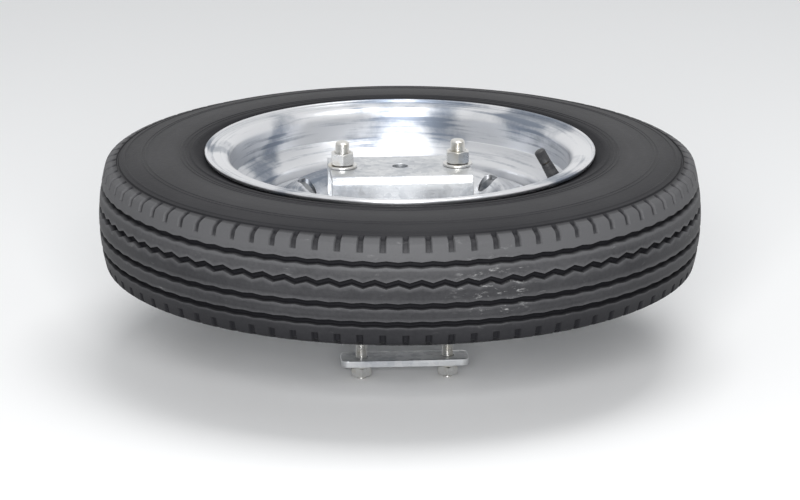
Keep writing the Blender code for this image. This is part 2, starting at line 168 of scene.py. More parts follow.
def shell_loop(path: np.ndarray, wall: float, bulge: float, steps: int = 5) -> np.ndarray:
    """The closed outline of a bent wall: its face, a rounded edge, its back, and the other rounded edge.

    The back is the face moved along its mitred normals. Each edge is half an ellipse from face to back.

    Args:
        path: points of the face.
        wall: thickness, to the left of the path if positive.
        bulge: how far each edge's middle stands proud of the path's end.
        steps: points on each edge.

    Returns:
        The outline's points, one per row.
    """
    back = path + path_normals(path) * wall
    turn = np.linspace(0.0, math.pi, steps + 2)[1:-1, None]

    def edge(start: np.ndarray, end: np.ndarray, outward: np.ndarray) -> np.ndarray:
        """Half an ellipse from start to end."""
        middle, half = (start + end) / 2, (start - end) / 2
        return middle + half * np.cos(turn) + outward * bulge * np.sin(turn)

    far = edge(path[-1], back[-1], unit(path[-1] - path[-2]))
    near = edge(back[0], path[0], unit(path[0] - path[1]))
    return np.vstack([path, far, back[::-1], near])


def turned(radius: np.ndarray, height: np.ndarray, angle: np.ndarray) -> np.ndarray:
    """A turned surface: x = radius cos(angle), y = radius sin(angle), z = height, broadcast to a grid.

    Args:
        radius: distance from the axis.
        height: place along the axis.
        angle: angle round the axis.

    Returns:
        The grid of points.
    """
    radius, height, angle = np.broadcast_arrays(radius, height, angle)
    return np.stack([radius * np.cos(angle), radius * np.sin(angle), height], -1)


@dataclass(frozen=True)
class Skin:
    """A closed surface: its points, its four-cornered faces and the triangles at its poles."""

    points: np.ndarray
    quads: np.ndarray
    fans: np.ndarray

    @classmethod
    def over(cls, grid: np.ndarray, ring: bool = False) -> "Skin":
        """Face a grid whose columns go once round, and turn the faces outward by the sign of its volume.

        Args:
            grid: points by row and column.
            ring: join the last row to the first; otherwise each end row closes on a pole at its middle.

        Returns:
            The closed surface.
        """
        rows, columns = grid.shape[:2]
        index = np.arange(rows * columns).reshape(rows, columns)
        points = grid.reshape(-1, 3)
        fans = np.empty((0, 3), int)
        if ring:
            index = np.vstack([index, index[:1]])
        else:
            first, last = index[0], index[-1]
            pole = np.full(columns, len(points))
            fans = np.vstack(
                [
                    np.stack([np.roll(first, -1), first, pole], 1),
                    np.stack([last, np.roll(last, -1), pole + 1], 1),
                ]
            )
            points = np.vstack([points, grid[0].mean(0), grid[-1].mean(0)])
        near, far = index[:-1], index[1:]
        corners = [near, np.roll(near, -1, 1), np.roll(far, -1, 1), far]
        quads = np.stack(corners, -1).reshape(-1, 4)
        triangles = np.vstack([quads[:, :3], quads[:, [0, 2, 3]], fans])
        a, b, c = points[triangles].transpose(1, 0, 2)
        if (a * np.cross(b, c)).sum() < 0:
            quads, fans = quads[:, ::-1], fans[:, ::-1]
        return cls(points, quads, fans)

    @classmethod
    def merged(cls, skins: Sequence["Skin"]) -> "Skin":
        """Several closed surfaces as one.

        Args:
            skins: the surfaces.

        Returns:
            One surface with all their faces.
        """
        starts = np.cumsum([0] + [len(skin.points) for skin in skins[:-1]])
        return cls(
            np.vstack([skin.points for skin in skins]),
            np.vstack([skin.quads + start for skin, start in zip(skins, starts)]),
            np.vstack([skin.fans + start for skin, start in zip(skins, starts)]),
        )

    def moved(self, matrix: Matrix) -> "Skin":
        """The surface after a turn and a shift."""
        turn = np.array(matrix.to_3x3())
        return Skin(self.points @ turn.T + np.array(matrix.translation), self.quads, self.fans)

    def mesh(self, name: str) -> bpy.types.Mesh:
        """A Blender mesh of the surface.

        Args:
            name: the mesh's name.

        Returns:
            The mesh.
        """
        made = bpy.data.meshes.new(name)
        corners = np.concatenate([self.quads.ravel(), self.fans.ravel()])
        sizes = np.concatenate([np.full(len(self.quads), 4), np.full(len(self.fans), 3)])
        made.vertices.add(len(self.points))
        made.vertices.foreach_set("co", self.points.ravel())
        made.loops.add(len(corners))
        made.loops.foreach_set("vertex_index", corners)
        made.polygons.add(len(sizes))
        made.polygons.foreach_set("loop_start", np.cumsum(sizes) - sizes)
        made.update(calc_edges=True)
        made.validate()
        return made

    def cut(self, name: str, tools: Sequence["Skin"]) -> bpy.types.Mesh:
        """A mesh of the surface with the tools' volumes taken out by one exact Boolean.

        Args:
            name: the mesh's name.
            tools: the closed surfaces to take out.

        Returns:
            The cut mesh.
        """
        body = bpy.data.objects.new(name, self.mesh(name))
        tool = bpy.data.objects.new(name + "_tool", Skin.merged(tools).mesh(name + "_tool"))
        for thing in (body, tool):
            bpy.context.scene.collection.objects.link(thing)
        step = body.modifiers.new("cut", "BOOLEAN")
        step.operation = "DIFFERENCE"
        step.solver = "EXACT"
        step.object = tool
        bpy.context.view_layer.update()
        evaluated = body.evaluated_get(bpy.context.evaluated_depsgraph_get())
        made = bpy.data.meshes.new_from_object(evaluated)
        for thing in (body, tool):
            bpy.data.objects.remove(thing, do_unlink=True)
        made.name = name
        return made


class Lathe:
    """A turned piece, gathered row by row; each row has a height and a radius at each angle."""

    def __init__(self, columns: int) -> None:
        """Start with no rows and so many columns.

        Args:
            columns: how many points go once round.
        """
        self.angle = around(columns)
        self.radii: list[np.ndarray] = []
        self.heights: list[np.ndarray] = []

    def add(self, radius: Union[float, np.ndarray], height: Union[float, np.ndarray]) -> "Lathe":
        """Add one row or several, from values that broadcast to rows by columns.

        Args:
            radius: distance from the axis.
            height: place along the axis.

        Returns:
            The lathe itself, so that calls can be chained.
        """
        radius, height = np.atleast_2d(radius), np.atleast_2d(height)
        shape = (max(len(radius), len(height)), self.angle.size)
        self.radii.append(np.broadcast_to(radius, shape))
        self.heights.append(np.broadcast_to(height, shape))
        return self

    def path(self, points: np.ndarray) -> "Lathe":
        """Add a row for each (radius, height) point."""
        return self.add(points[:, :1], points[:, 1:])

    def skin(self, x: float = 0.0, y: float = 0.0, ring: bool = False) -> Skin:
        """The closed surface round an upright axis at (x, y)."""
        grid = turned(np.vstack(self.radii), np.vstack(self.heights), self.angle)
        return Skin.over(grid + (x, y, 0.0), ring)


@dataclass(frozen=True)
class Place:
    """Where a node of the frame lies."""

    low: Vector
    high: Vector

    @classmethod
    def of(cls, node: str) -> "Place":
        """The place of one node."""
        return cls(*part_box(node))

    @property
    def middle(self) -> Vector:
        """The middle of its box."""
        return (self.low + self.high) / 2

    @property
    def half(self) -> Vector:
        """Half its size along each axis."""
        return (self.high - self.low) / 2


# Shader values


class Value:
    """A value that changes over a surface; sums and products of it add Math nodes to its tree."""

    def __init__(self, tree: "FinishTree", socket: bpy.types.NodeSocket) -> None:
        """Keep the tree and the output that carries the value."""
        self.tree = tree
        self.socket = socket

    def __add__(self, other: "Number") -> "Value":
        """Sum."""
        return self.tree.math("ADD", self, other)

    __radd__ = __add__

    def __sub__(self, other: "Number") -> "Value":
        """Difference."""
        return self.tree.math("SUBTRACT", self, other)

    def __rsub__(self, other: "Number") -> "Value":
        """Difference from a number."""
        return self.tree.math("SUBTRACT", other, self)

    def __mul__(self, other: "Number") -> "Value":
        """Product."""
        return self.tree.math("MULTIPLY", self, other)

    __rmul__ = __mul__

    def __truediv__(self, other: "Number") -> "Value":
        """Quotient."""
        return self.tree.math("DIVIDE", self, other)

    def __rtruediv__(self, other: "Number") -> "Value":
        """Quotient of a number."""
        return self.tree.math("DIVIDE", other, self)

    def band(self, low: float, high: float) -> "Value":
        """0 below low, 1 above high, and a smooth step between; high may be the lower one.

        Args:
            low: where the step starts.
            high: where it ends.

        Returns:
            The stepped value.
        """
        settings = {"interpolation_type": "SMOOTHSTEP"}
        sockets = {"Value": self, "From Min": low, "From Max": high}
        return self.tree.node("ShaderNodeMapRange", settings, sockets)


Number = Union[float, Value]
Colour = tuple[float, float, float]


class FinishTree:
    """The node tree of one material, with a Principled shader at its end."""

    def __init__(self, name: str) -> None:
        """Start a material with a bare shader.

        Args:
            name: the material's name.
        """
        self.material = bpy.data.materials.new(name)
        self.material.use_nodes = True
        self.nodes = self.material.node_tree.nodes
        self.links = self.material.node_tree.links
        self.shader = self.nodes["Principled BSDF"]
        self.place = self.node("ShaderNodeTexCoord", output="Object")

    def feed(self, socket: bpy.types.NodeSocket, value: Union[Number, tuple]) -> None:
        """Link a value to a socket, or set a plain number or colour on it.

        Args:
            socket: the input.
            value: a value of this tree, a number or a colour.
        """
        if isinstance(value, Value):
            self.links.new(value.socket, socket)
        elif socket.type == "RGBA":
            socket.default_value = (*value[:3], 1.0)
        else:
            socket.default_value = value

    def node(
        self,
        kind: str,
        settings: Optional[dict] = None,
        sockets: Optional[dict] = None,
        output: Union[int, str] = 0,
    ) -> Value:
        """Add one node: its settings first, then its sockets.

        Args:
            kind: the node's type.
            settings: its properties by name.
            sockets: values or links by the input's name or number.
            output: the output that is wanted.

        Returns:
            The output's value.
        """
        made = self.nodes.new(kind)
        for key, value in (settings or {}).items():
            setattr(made, key, value)
        for key, value in (sockets or {}).items():
            self.feed(made.inputs[key], value)
        return Value(self, made.outputs[output])

    def math(self, operation: str, *values: Number) -> Value:
        """One Math node."""
        return self.node("ShaderNodeMath", {"operation": operation}, dict(enumerate(values)))

    def axes(self) -> tuple[Value, Value, Value]:
        """The three coordinates of the piece's own frame.

        Returns:
            x, y and z.
        """
        made = self.nodes.new("ShaderNodeSeparateXYZ")
        self.feed(made.inputs[0], self.place)
        return tuple(Value(self, made.outputs[axis]) for axis in range(3))

    def vector(self, x: Number, y: Number, z: Number) -> Value:
        """Three values as a vector."""
        return self.node("ShaderNodeCombineXYZ", sockets={0: x, 1: y, 2: z})

    def noise(
        self, where: Value, scale: float, detail: float = 3.0, rough: float = 0.5, fourth: Number = 0.0
    ) -> Value:
        """Noise of four dimensions: the place's three and a fourth value."""
        sockets = {"Vector": where, "W": fourth, "Scale": scale, "Detail": detail, "Roughness": rough}
        return self.node("ShaderNodeTexNoise", {"noise_dimensions": "4D"}, sockets)

    def cells(self, where: Value, scale: float) -> Value:
        """A grey value for each cell of a Voronoi pattern.

        Args:
            where: the place that it is read at.
            scale: how many cells there are to a metre.

        Returns:
            The grey value.
        """
        sockets = {"Vector": where, "Scale": scale}
        colour = self.node("ShaderNodeTexVoronoi", sockets=sockets, output="Color")
        return self.node("ShaderNodeSeparateColor", sockets={0: colour})

    def mix(self, share: Number, first: Union[Value, Colour], second: Union[Value, Colour]) -> Value:
        """A colour between two others."""
        sockets = {"Factor": share, 6: first, 7: second}
        return self.node("ShaderNodeMix", {"data_type": "RGBA"}, sockets, 2)

    def bump(self, height: Value, distance: float, strength: float = 1.0) -> Value:
        """A normal that follows a height."""
        sockets = {"Height": height, "Distance": distance, "Strength": strength}
        return self.node("ShaderNodeBump", sockets=sockets)

    def finish(self, **sockets: Union[Number, tuple]) -> bpy.types.Material:
        """Feed the shader's sockets, named with _ for a space, and give back the material.

        Args:
            **sockets: a value, number or colour for each socket.

        Returns:
            The material.
        """
        for key, value in sockets.items():
            self.feed(self.shader.inputs[key.replace("_", " ")], value)
        return self.material


# Finishes


# Point attribute of the tyre: greying for dust plus a painted highlight, lighter higher up and on rib edges,
# with painted shade in grooves and notches.
SHEEN_AND_DUST_ATTRIBUTE = "sheen_and_dust"


class Grain(Enum):
    """The way that a rolled or turned surface's fine lines run."""

    ROUND = "round"
    ALONG_X = "along_x"
    ALONG_Y = "along_y"


def grain_noise(tree: FinishTree, grain: Grain, long_scale: float, fine_scale: float) -> Value:
    """Streaks: noise that is slow along the grain and fast across it.

    Round an axis it is read at (cos, sin, height) with the radius as a fourth value, so it has no seam.

    Args:
        tree: the material's tree.
        grain: which way the streaks run.
        long_scale: how fast the noise changes along a streak.
        fine_scale: how fast it changes across one.

    Returns:
        The noise.
    """
    x, y, z = tree.axes()
    if grain is Grain.ALONG_X:
        where = tree.vector(x * long_scale, y * fine_scale, z * fine_scale)
        return tree.noise(where, 1.0, 4.0)
    if grain is Grain.ALONG_Y:
        where = tree.vector(x * fine_scale, y * long_scale, z * fine_scale)
        return tree.noise(where, 1.0, 4.0)
    radius = tree.math("SQRT", x * x + y * y)
    where = tree.vector(x / radius * long_scale, y / radius * long_scale, z * fine_scale)
    return tree.noise(where, 1.0, 4.0, 0.55, radius * fine_scale)


@dataclass(frozen=True)
class BrightZinc:
    """Spun and pressed steel under a bright zinc coat: silver with streaks and blue-grey patches, partly
    patina and partly painted reflection.
    """

    name: str = "bright_zinc"
    light: Colour = (0.66, 0.67, 0.69)
    patina_and_reflection_tint: Colour = (0.20, 0.23, 0.28)
    patch_scale: float = 13.0
    patch_seed: float = 2.0
    brushed: float = 0.75

    def material(self) -> bpy.types.Material:
        """Build the finish.

        Returns:
            The material.
        """
        tree = FinishTree(self.name)
        streaks = grain_noise(tree, Grain.ROUND, 2.2, 260.0)
        patches = tree.noise(tree.place, self.patch_scale, 2.0, 0.5, self.patch_seed)
        mottle = tree.noise(tree.place, 240.0, 3.0, 0.6)
        # The blue-grey share is partly the coat's patina and partly painted reflection: darker patches that
        # stand in for dark surroundings.
        patina_and_reflection_share = streaks.band(0.46, 0.68) * 0.45 + patches.band(0.50, 0.66) * 0.75
        patina_and_reflection_share = (patina_and_reflection_share + (mottle - 0.5) * 0.35).band(0.05, 0.95)
        colour = tree.mix(patina_and_reflection_share, self.light, self.patina_and_reflection_tint)
        height = streaks * 0.7 + mottle * 0.3
        return tree.finish(
            Base_Color=colour,
            Metallic=1.0,
            Roughness=0.27 + patina_and_reflection_share * 0.12 + mottle * 0.10,
            Anisotropic=self.brushed,
            Anisotropic_Rotation=0.25,
            Normal=tree.bump(height, 0.30 * MM, 0.6),
        )


@dataclass(frozen=True)
class DippedZinc:
    """Flat steel under a zinc coat: small frosty crystals, faint rolling lines and dull patches."""

    name: str
    grain: Grain = Grain.ALONG_X
    light: Colour = (0.64, 0.65, 0.66)
    dull: Colour = (0.36, 0.38, 0.41)
    crystal_scale: float = 230.0

    def material(self) -> bpy.types.Material:
        """Build the finish.

        Returns:
            The material.
        """
        tree = FinishTree(self.name)
        wander = tree.noise(tree.place, 60.0, 2.0)
        shifted = tree.node(
            "ShaderNodeVectorMath",
            {"operation": "ADD"},
            {0: tree.place, 1: tree.vector(wander * 0.006, wander * 0.004, wander * 0.005)},
        )
        crystals = tree.cells(shifted, self.crystal_scale)
        lines = grain_noise(tree, self.grain, 12.0, 420.0)
        patches = tree.noise(tree.place, 22.0, 3.0, 0.6)
        dulled = (crystals * 0.32 + lines * 0.45 + patches.band(0.4, 0.7) * 0.4).band(0.15, 1.05)
        return tree.finish(
            Base_Color=tree.mix(dulled, self.light, self.dull),
            Metallic=1.0,
            Roughness=0.27 + crystals * 0.14 + patches * 0.14,
            Normal=tree.bump(crystals * 0.5 + lines * 0.5, 0.12 * MM, 0.7),
        )


@dataclass(frozen=True)
class Speckle:
    """A noise of a small part's finish: its scale, detail and roughness."""

    scale: float
    detail: float = 3.0
    rough: float = 0.5

    def on(self, tree: FinishTree) -> Value:
        """The noise on a material's tree."""
        return tree.noise(tree.place, self.scale, self.detail, self.rough)


@dataclass(frozen=True)
class FineFinish:
    """A small part's finish: tinted spots on a base colour, over a fine grain that makes the bump.

    Roughness is rough[0], plus the grain times rough[1], plus the spots times rough[2].
    """

    name: str
    base: Colour
    tint: Colour
    spots: Speckle
    spot_band: tuple[float, float]
    grain: Speckle
    rough: tuple[float, float, float]
    bump_high: float
    bump_strength: float = 0.6
    tint_share: float = 1.0
    metallic: float = 0.0

    def material(self) -> bpy.types.Material:
        """Build the finish.

        Returns:
            The material.
        """
        tree = FinishTree(self.name)
        spots, grain = self.spots.on(tree), self.grain.on(tree)
        plain, by_grain, by_spots = self.rough
        return tree.finish(
            Base_Color=tree.mix(spots.band(*self.spot_band) * self.tint_share, self.base, self.tint),
            Metallic=self.metallic,
            Roughness=plain + grain * by_grain + spots * by_spots,
            Normal=tree.bump(grain, self.bump_high, self.bump_strength),
        )


PLATED_STEEL = FineFinish(
    "plated_fastener",
    base=(0.62, 0.62, 0.61),
    tint=(0.46, 0.42, 0.33),
    spots=Speckle(90.0, 3.0, 0.6),
    spot_band=(0.42, 0.75),
    grain=Speckle(900.0, 2.0, 0.6),
    rough=(0.18, 0.16, 0.08),
    bump_high=0.05 * MM,
    tint_share=0.6,
    metallic=1.0,
)
STEM_RUBBER = FineFinish(
    "stem_rubber",
    base=(0.018, 0.018, 0.020),
    tint=(0.060, 0.060, 0.062),
    spots=Speckle(160.0),
    spot_band=(0.4, 0.8),
    grain=Speckle(1500.0, 2.0),
    rough=(0.46, 0.16, 0.0),
    bump_high=0.05 * MM,
)
TURNED_BRASS = FineFinish(
    "turned_brass",
    base=(0.74, 0.56, 0.24),
    tint=(0.40, 0.27, 0.12),
    spots=Speckle(420.0, 3.0, 0.6),
    spot_band=(0.5, 0.8),
    grain=Speckle(2200.0, 2.0),
    rough=(0.22, 0.20, 0.0),
    bump_high=0.02 * MM,
    tint_share=0.7,
    metallic=1.0,
)
MOULDED_PLASTIC = FineFinish(
    "moulded_plastic",
    base=(0.020, 0.020, 0.022),
    tint=(0.055, 0.055, 0.058),
    spots=Speckle(300.0, 2.0),
    spot_band=(0.45, 0.8),
    grain=Speckle(2600.0, 2.0),
    rough=(0.34, 0.18, 0.0),
    bump_high=0.03 * MM,
    bump_strength=0.7,
)
WELD_METAL = FineFinish(
    "weld_metal",
    base=(0.42, 0.43, 0.45),
    tint=(0.30, 0.25, 0.21),
    spots=Speckle(90.0),
    spot_band=(0.45, 0.7),
    grain=Speckle(800.0, 3.0, 0.6),
    rough=(0.38, 0.2, 0.0),
    bump_high=0.10 * MM,
    bump_strength=0.7,
    metallic=1.0,
)


@dataclass(frozen=True)
class CasingRubber:
    """Tyre rubber: near black and finely grained, greyed with dust and with a painted highlight that is
    stronger higher up, with rub marks on the tread.
    """

    hub_height: float
    name: str = "casing_rubber"
    black: Colour = (0.008, 0.008, 0.010)
    # Grey used both for real dust and for the painted highlight on the upper tread.
    dust: Colour = (0.084, 0.084, 0.088)
    scuff: Colour = (0.36, 0.36, 0.36)
    rub_middle: tuple[float, float, float] = (62.0 * MM, -255.0 * MM, 4.0 * MM)
    rub_reach: float = 46.0 * MM
    tread_from: tuple[float, float] = (252.0 * MM, 257.0 * MM)

    def material(self) -> bpy.types.Material:
        """Build the finish; a point attribute says how far each place is greyed, by dust and by painted
        highlight and shade.

        Returns:
            The material.
        """
        tree = FinishTree(self.name)
        x, y, z = tree.axes()
        sheen_and_dust = tree.node("ShaderNodeAttribute", {"attribute_name": SHEEN_AND_DUST_ATTRIBUTE}, output="Fac")
        moulded = grain_noise(tree, Grain.ROUND, 3.0, 180.0)
        clouds = tree.noise(tree.place, 11.0, 4.0, 0.6, 4.0)
        grain = tree.noise(tree.place, 700.0, 3.0, 0.65)
        speckle = tree.noise(tree.place, 260.0, 4.0, 0.7, 9.0)
        # Dust grey laid on by the attribute: partly dust, partly a painted highlight that is stronger higher
        # up.
        sheen_and_dust_share = sheen_and_dust * (clouds * 0.8 + moulded * 0.5 + speckle * 0.7)
        streaky = tree.vector(x, y, z * 3.5)
        tread = tree.math("SQRT", x * x + y * y).band(*self.tread_from)
        scrapes = tree.noise(streaky, 34.0, 5.0, 0.7, 7.3).band(0.62, 0.74) * sheen_and_dust.band(0.15, 0.4) * tread
        middle = tree.vector(*self.rub_middle[:2], self.rub_middle[2] + self.hub_height)
        apart = {0: tree.place, 1: middle}
        off = tree.node("ShaderNodeVectorMath", {"operation": "DISTANCE"}, apart, "Value")
        marks = tree.noise(streaky, 90.0, 4.0, 0.7, 1.7).band(0.55, 0.68)
        marks = marks * off.band(self.rub_reach, self.rub_reach * 0.3) * sheen_and_dust.band(0.1, 0.3)
        colour = tree.mix(sheen_and_dust_share.band(0.0, 1.0), self.black, self.dust)
        colour = tree.mix(scrapes * 0.30 + marks * 0.70, colour, self.scuff)
        return tree.finish(
            Base_Color=colour,
            Roughness=0.58 + speckle * 0.20 - sheen_and_dust.band(0.1, 0.3) * 0.14,
            Specular_IOR_Level=0.14,
            Normal=tree.bump(grain * 0.4 + moulded * 0.3 + speckle * 0.8, 0.30 * MM, 0.8),
        )


# Pieces


class Slot(Enum):
    """Material slots of the record."""

    ZINC = "zinc_steel"
    BRIGHT = "bright_zinc"
    PLATED = "plated_fasteners"
    TYRE = "tyre_rubber"
    STEM = "valve_rubber"
    BRASS = "valve_brass"
    CAP = "valve_cap"


SHARP_ANGLE = math.radians(32.0)


def install(
    name: str,
    mesh: bpy.types.Mesh,
    finish: bpy.types.Material,
    body: str,
    nodes: Sequence[str] = (),
) -> bpy.types.Object:
    """Put a finished mesh into the scene as a piece that rides on a body.

    Args:
        name: the piece's name.
        mesh: its mesh, in place.
        finish: its material.
        body: the body that it moves with.
        nodes: nodes of the frame that it stands for.

    Returns:
        The piece.
    """
    mesh.materials.clear()
    mesh.materials.append(finish)
    mesh.shade_smooth()
    mesh.set_sharp_from_angle(angle=SHARP_ANGLE)
    piece = bpy.data.objects.new(name, mesh)
    bpy.context.scene.collection.objects.link(piece)
    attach(piece, body)
    if nodes:
        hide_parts(*nodes)
    LOG.info("%s: %d faces on %s", name, len(mesh.polygons), body)
    return piece


def hole_tool(x: float, y: float, radius: float, low: float, high: float, chamfer: float) -> Skin:
    """A drill that leaves a broken edge at both faces: a cylinder that widens at 45 degrees past each.

    Args:
        x: place across the tongue.
        y: place along the tongue.
        radius: the hole's radius.
        low: height of the lower face.
        high: height of the upper face.
        chamfer: width of the broken edges.

    Returns:
        The drill's surface.
    """
    past = 1.0 * MM
    flare = radius + chamfer + past
    rows = [(flare, high + past), (radius, high - chamfer), (radius, low + chamfer), (flare, low - past)]
    return Lathe(32).path(np.array(rows)).skin(x, y)


@dataclass
class Casing:
    """The tyre: five ribs parted by zigzag grooves, notched shoulders, ridged sidewalls, hollow inside."""

    teeth: int = 84
    tread_half: float = 44.0 * MM
    crown_drop: float = 6.0 * MM
    groove_middles: tuple[float, ...] = (26.2 * MM, 9.7 * MM, -9.7 * MM, -26.2 * MM)
    groove_swings: tuple[float, ...] = (-0.6 * MM, 1.6 * MM, -0.5 * MM, 0.4 * MM)
    groove_half: float = 2.8 * MM
    groove_deep: float = 6.0 * MM
    notch_deep: float = 2.4 * MM
    notch_top: float = 36.0 * MM
    notch_end: float = 250.5 * MM
    notch_ramp: float = 1.0 * MM
    edge_in: float = 4.0 * MM
    edge_up: float = 2.4 * MM
    wall_middle: tuple[float, float] = (233.0 * MM, 51.8 * MM)
    wall_foot: tuple[float, float] = (180.0 * MM, 53.8 * MM)
    edge_bend: float = 5.0 * MM
    tread_bend: float = 4.5 * MM
    bend_reach: float = 3.0 * MM
    plain_stop: float = 2.5 * MM
    tread_start: float = 3.5 * MM
    notch_lead: float = 0.8 * MM
    # Width and strength of the painted highlight along each rib's edge.
    edge_highlight_half: float = 1.1 * MM
    edge_highlight_gain: float = 0.9
    notch_shade: float = 0.75

    # One tooth's columns: place along the tooth, side to side swing of a groove, and share of a notch
    TOOTH = np.array(
        [
            (0.00, 1.000, 0.0),
            (0.16, 0.333, 0.0),
            (0.24, 0.000, 1.0),
            (0.40, -0.667, 1.0),
            (0.48, -1.000, 0.0),
            (0.74, 0.000, 0.0),
        ]
    )
    # Half a groove: share of its half width, and share of its depth
    GROOVE = np.array([(1.25, 0.0), (1.0, 0.03), (0.93, 0.15), (0.70, 0.92), (0.50, 1.0), (0.0, 1.0)])
    # A ridge's flank, as a share of its half width; it falls away between one flank and two
    FLANK = 0.8
    # Ridges round the sidewall: radius, half width and height, in millimetres
    RIDGES = np.array(
        [
            (182.5, 1.8, 0.90),
            (189.5, 0.7, 0.45),
            (193.0, 0.7, 0.45),
            (224.0, 0.6, 0.40),
            (227.5, 0.6, 0.40),
            (243.0, 0.8, 0.50),
            (248.6, 0.8, -1.30),
        ]
    )
    # The bead outside and inside the casing, as radius and height in millimetres
    BEAD = np.array(
        [(152.7, 33.0), (152.7, 44.0), (154.8, 48.0), (159.5, 50.6), (169.0, 50.2), (173.8, 51.5)]
    )
    INSIDE = np.array(
        [
            (158.0, 33.0),
            (176.0, 40.0),
            (192.7, 46.4),
            (210.6, 47.9),
            (228.1, 44.3),
            (244.0, 36.0),
            (251.5, 20.0),
        ]
    )
    INSIDE_CROWN = 253.5 * MM
    # How far the rubber is greyed, by dust and by a painted highlight that grows higher up: by height in
    # millimetres, and on the walls by radius in millimetres
    GREYED = np.array(
        [
            (-52.0, 0.10),
            (-40.0, 0.20),
            (-18.0, 0.38),
            (2.0, 0.38),
            (18.0, 0.54),
            (29.0, 0.72),
            (36.0, 1.15),
        ]
    )
    WALL_GREYED = np.array(
        [(172.0, 0.03), (188.0, 0.19), (205.0, 0.30), (248.0, 0.19), (252.0, 0.30), (255.0, 1.0)]
    )

    def __post_init__(self) -> None:
        """Read the tyre's place and size from the frame."""
        place = Place.of("tyre")
        self.radius = place.half.x
        self.hub = place.middle.z

    def crown(self, height: np.ndarray) -> np.ndarray:
        """Radius of the tread: a shallow parabola across it."""
        return self.radius - self.crown_drop * (height / self.tread_half) ** 2

    def wall_height(self, radius: np.ndarray) -> np.ndarray:
        """Height of the sidewall: the circle through its edge, middle and foot, plus the ridges.

        Args:
            radius: distances from the wheel's axis.

        Returns:
            The height at each radius.
        """
        edge = (self.crown(self.tread_half) - self.edge_in, self.tread_half + self.edge_up)
        a, b, c = (complex(*point) for point in (edge, self.wall_middle, self.wall_foot))
        w = (c - a) / (b - a)
        centre = (b - a) * (w - abs(w) ** 2) / (2j * w.imag) + a
        bend = math.copysign(1.0, a.imag - centre.imag)
        height = centre.imag + bend * np.sqrt(abs(a - centre) ** 2 - (radius - centre.real) ** 2)
        middle, half, proud = (self.RIDGES * MM).T[:, :, None]
        ridge = np.clip(2.0 - np.abs(radius - middle) / (self.FLANK * half), 0.0, 1.0) * proud
        return height + ridge.sum(0)

    def side_rows(self) -> np.ndarray:
        """Upper side from the bead's toe out to the tread's edge, as radius and height.

        Returns:
            One row for each point.
        """
        edge_radius = self.crown(self.tread_half) - self.edge_in
        middle, half = self.RIDGES[:, 0] * MM, self.RIDGES[:, 1] * MM
        ridge_rows = [middle + flanks * self.FLANK * half for flanks in (-2, -1, 1, 2)]
        plain_rows = np.linspace(self.wall_foot[0], edge_radius - self.plain_stop, 11)
        radius = np.unique(np.round(np.concatenate([*ridge_rows, plain_rows]), 5))
        wall = np.stack([radius, self.wall_height(radius)], 1)
        corners = [
            (*wall[-1], 0.0),
            (edge_radius, self.tread_half + self.edge_up, self.edge_bend),
            (self.crown(self.tread_half), self.tread_half, self.tread_bend),
            (self.crown(self.tread_half - self.bend_reach), self.tread_half - self.bend_reach, 0.0),
        ]
        return np.vstack([self.BEAD * MM, wall[:-1], filleted(corners, 4)])

    def tread_rows(self) -> tuple[np.ndarray, np.ndarray, np.ndarray]:
        """Rows across the tread from its upper edge down: height, depth below the crown, and groove swing.

        Returns:
            The three values, each by row.
        """
        shape = np.vstack([self.GROOVE, self.GROOVE[-2::-1] * (-1.0, 1.0)])
        reach = self.groove_half * self.GROOVE[0, 0]
        top = self.tread_half - self.tread_start
        heights = [np.array([top, self.notch_top + self.notch_lead, self.notch_top])]
        depths = [np.zeros(3)]
        for middle in self.groove_middles:
            above = heights[-1][-1]
            heights += [np.linspace(above, middle + reach, 5)[1:-1], middle + self.groove_half * shape[:, 0]]
            depths += [np.zeros(3), self.groove_deep * shape[:, 1]]
        last = heights[-1][-1]
        heights += [np.linspace(last, -self.notch_top, 5)[1:], -heights[0][1::-1]]
        depths += [np.zeros(4), np.zeros(2)]
        height, depth = np.concatenate(heights), np.concatenate(depths)
        knots = np.ravel([(middle + reach, middle - reach) for middle in self.groove_middles])
        ends = np.concatenate([[-self.notch_top], -knots, [self.notch_top]])
        swing = np.interp(-height, ends, np.concatenate([[0.0], np.repeat(self.groove_swings, 2), [0.0]]))
        return height, depth, swing

    def notched(self, outer: np.ndarray) -> np.ndarray:
        """Share of each row in the shoulder notches, which start at a height and at a radius.

        Args:
            outer: radius and height of the outside's rows.

        Returns:
            0 outside the notches to 1 in them.
        """
        down = np.abs(outer[:, 1]) - self.notch_top
        out = outer[:, 0] - self.notch_end
        return np.clip(np.minimum(down, out) / self.notch_ramp, 0.0, 1.0)

    def sheen_and_dust(self, outer: np.ndarray, grooves: np.ndarray) -> np.ndarray:
        """How far each row is greyed, by dust and painted highlight: most on the upper shoulder, less lower
        down, least in the grooves, where shade is painted.

        A rib's edge is painted paler than its middle as a painted highlight, by a bell curve of the distance
        from the groove's edge.

        Args:
            outer: radius and height of the outside's rows.
            grooves: depth of each row below the crown.

        Returns:
            How far each row is greyed.
        """
        height, grey = self.GREYED.T
        level = np.interp(outer[:, 1], height * MM, grey)
        radius, wall_grey = self.WALL_GREYED.T
        wall = np.interp(outer[:, 0], radius * MM, wall_grey)
        edges = np.ravel([(at + self.groove_half, at - self.groove_half) for at in self.groove_middles])
        apart = np.abs(outer[:, 1:] - edges).min(1) / self.edge_highlight_half
        # Painted highlight along each rib's edge, where light catches the rounded edge.
        edge_highlight = 1.0 + self.edge_highlight_gain * np.exp(-(apart**2))
        # The last factor paints shade into the grooves.
        return level * wall * edge_highlight * (1.0 - grooves / self.groove_deep) ** 2

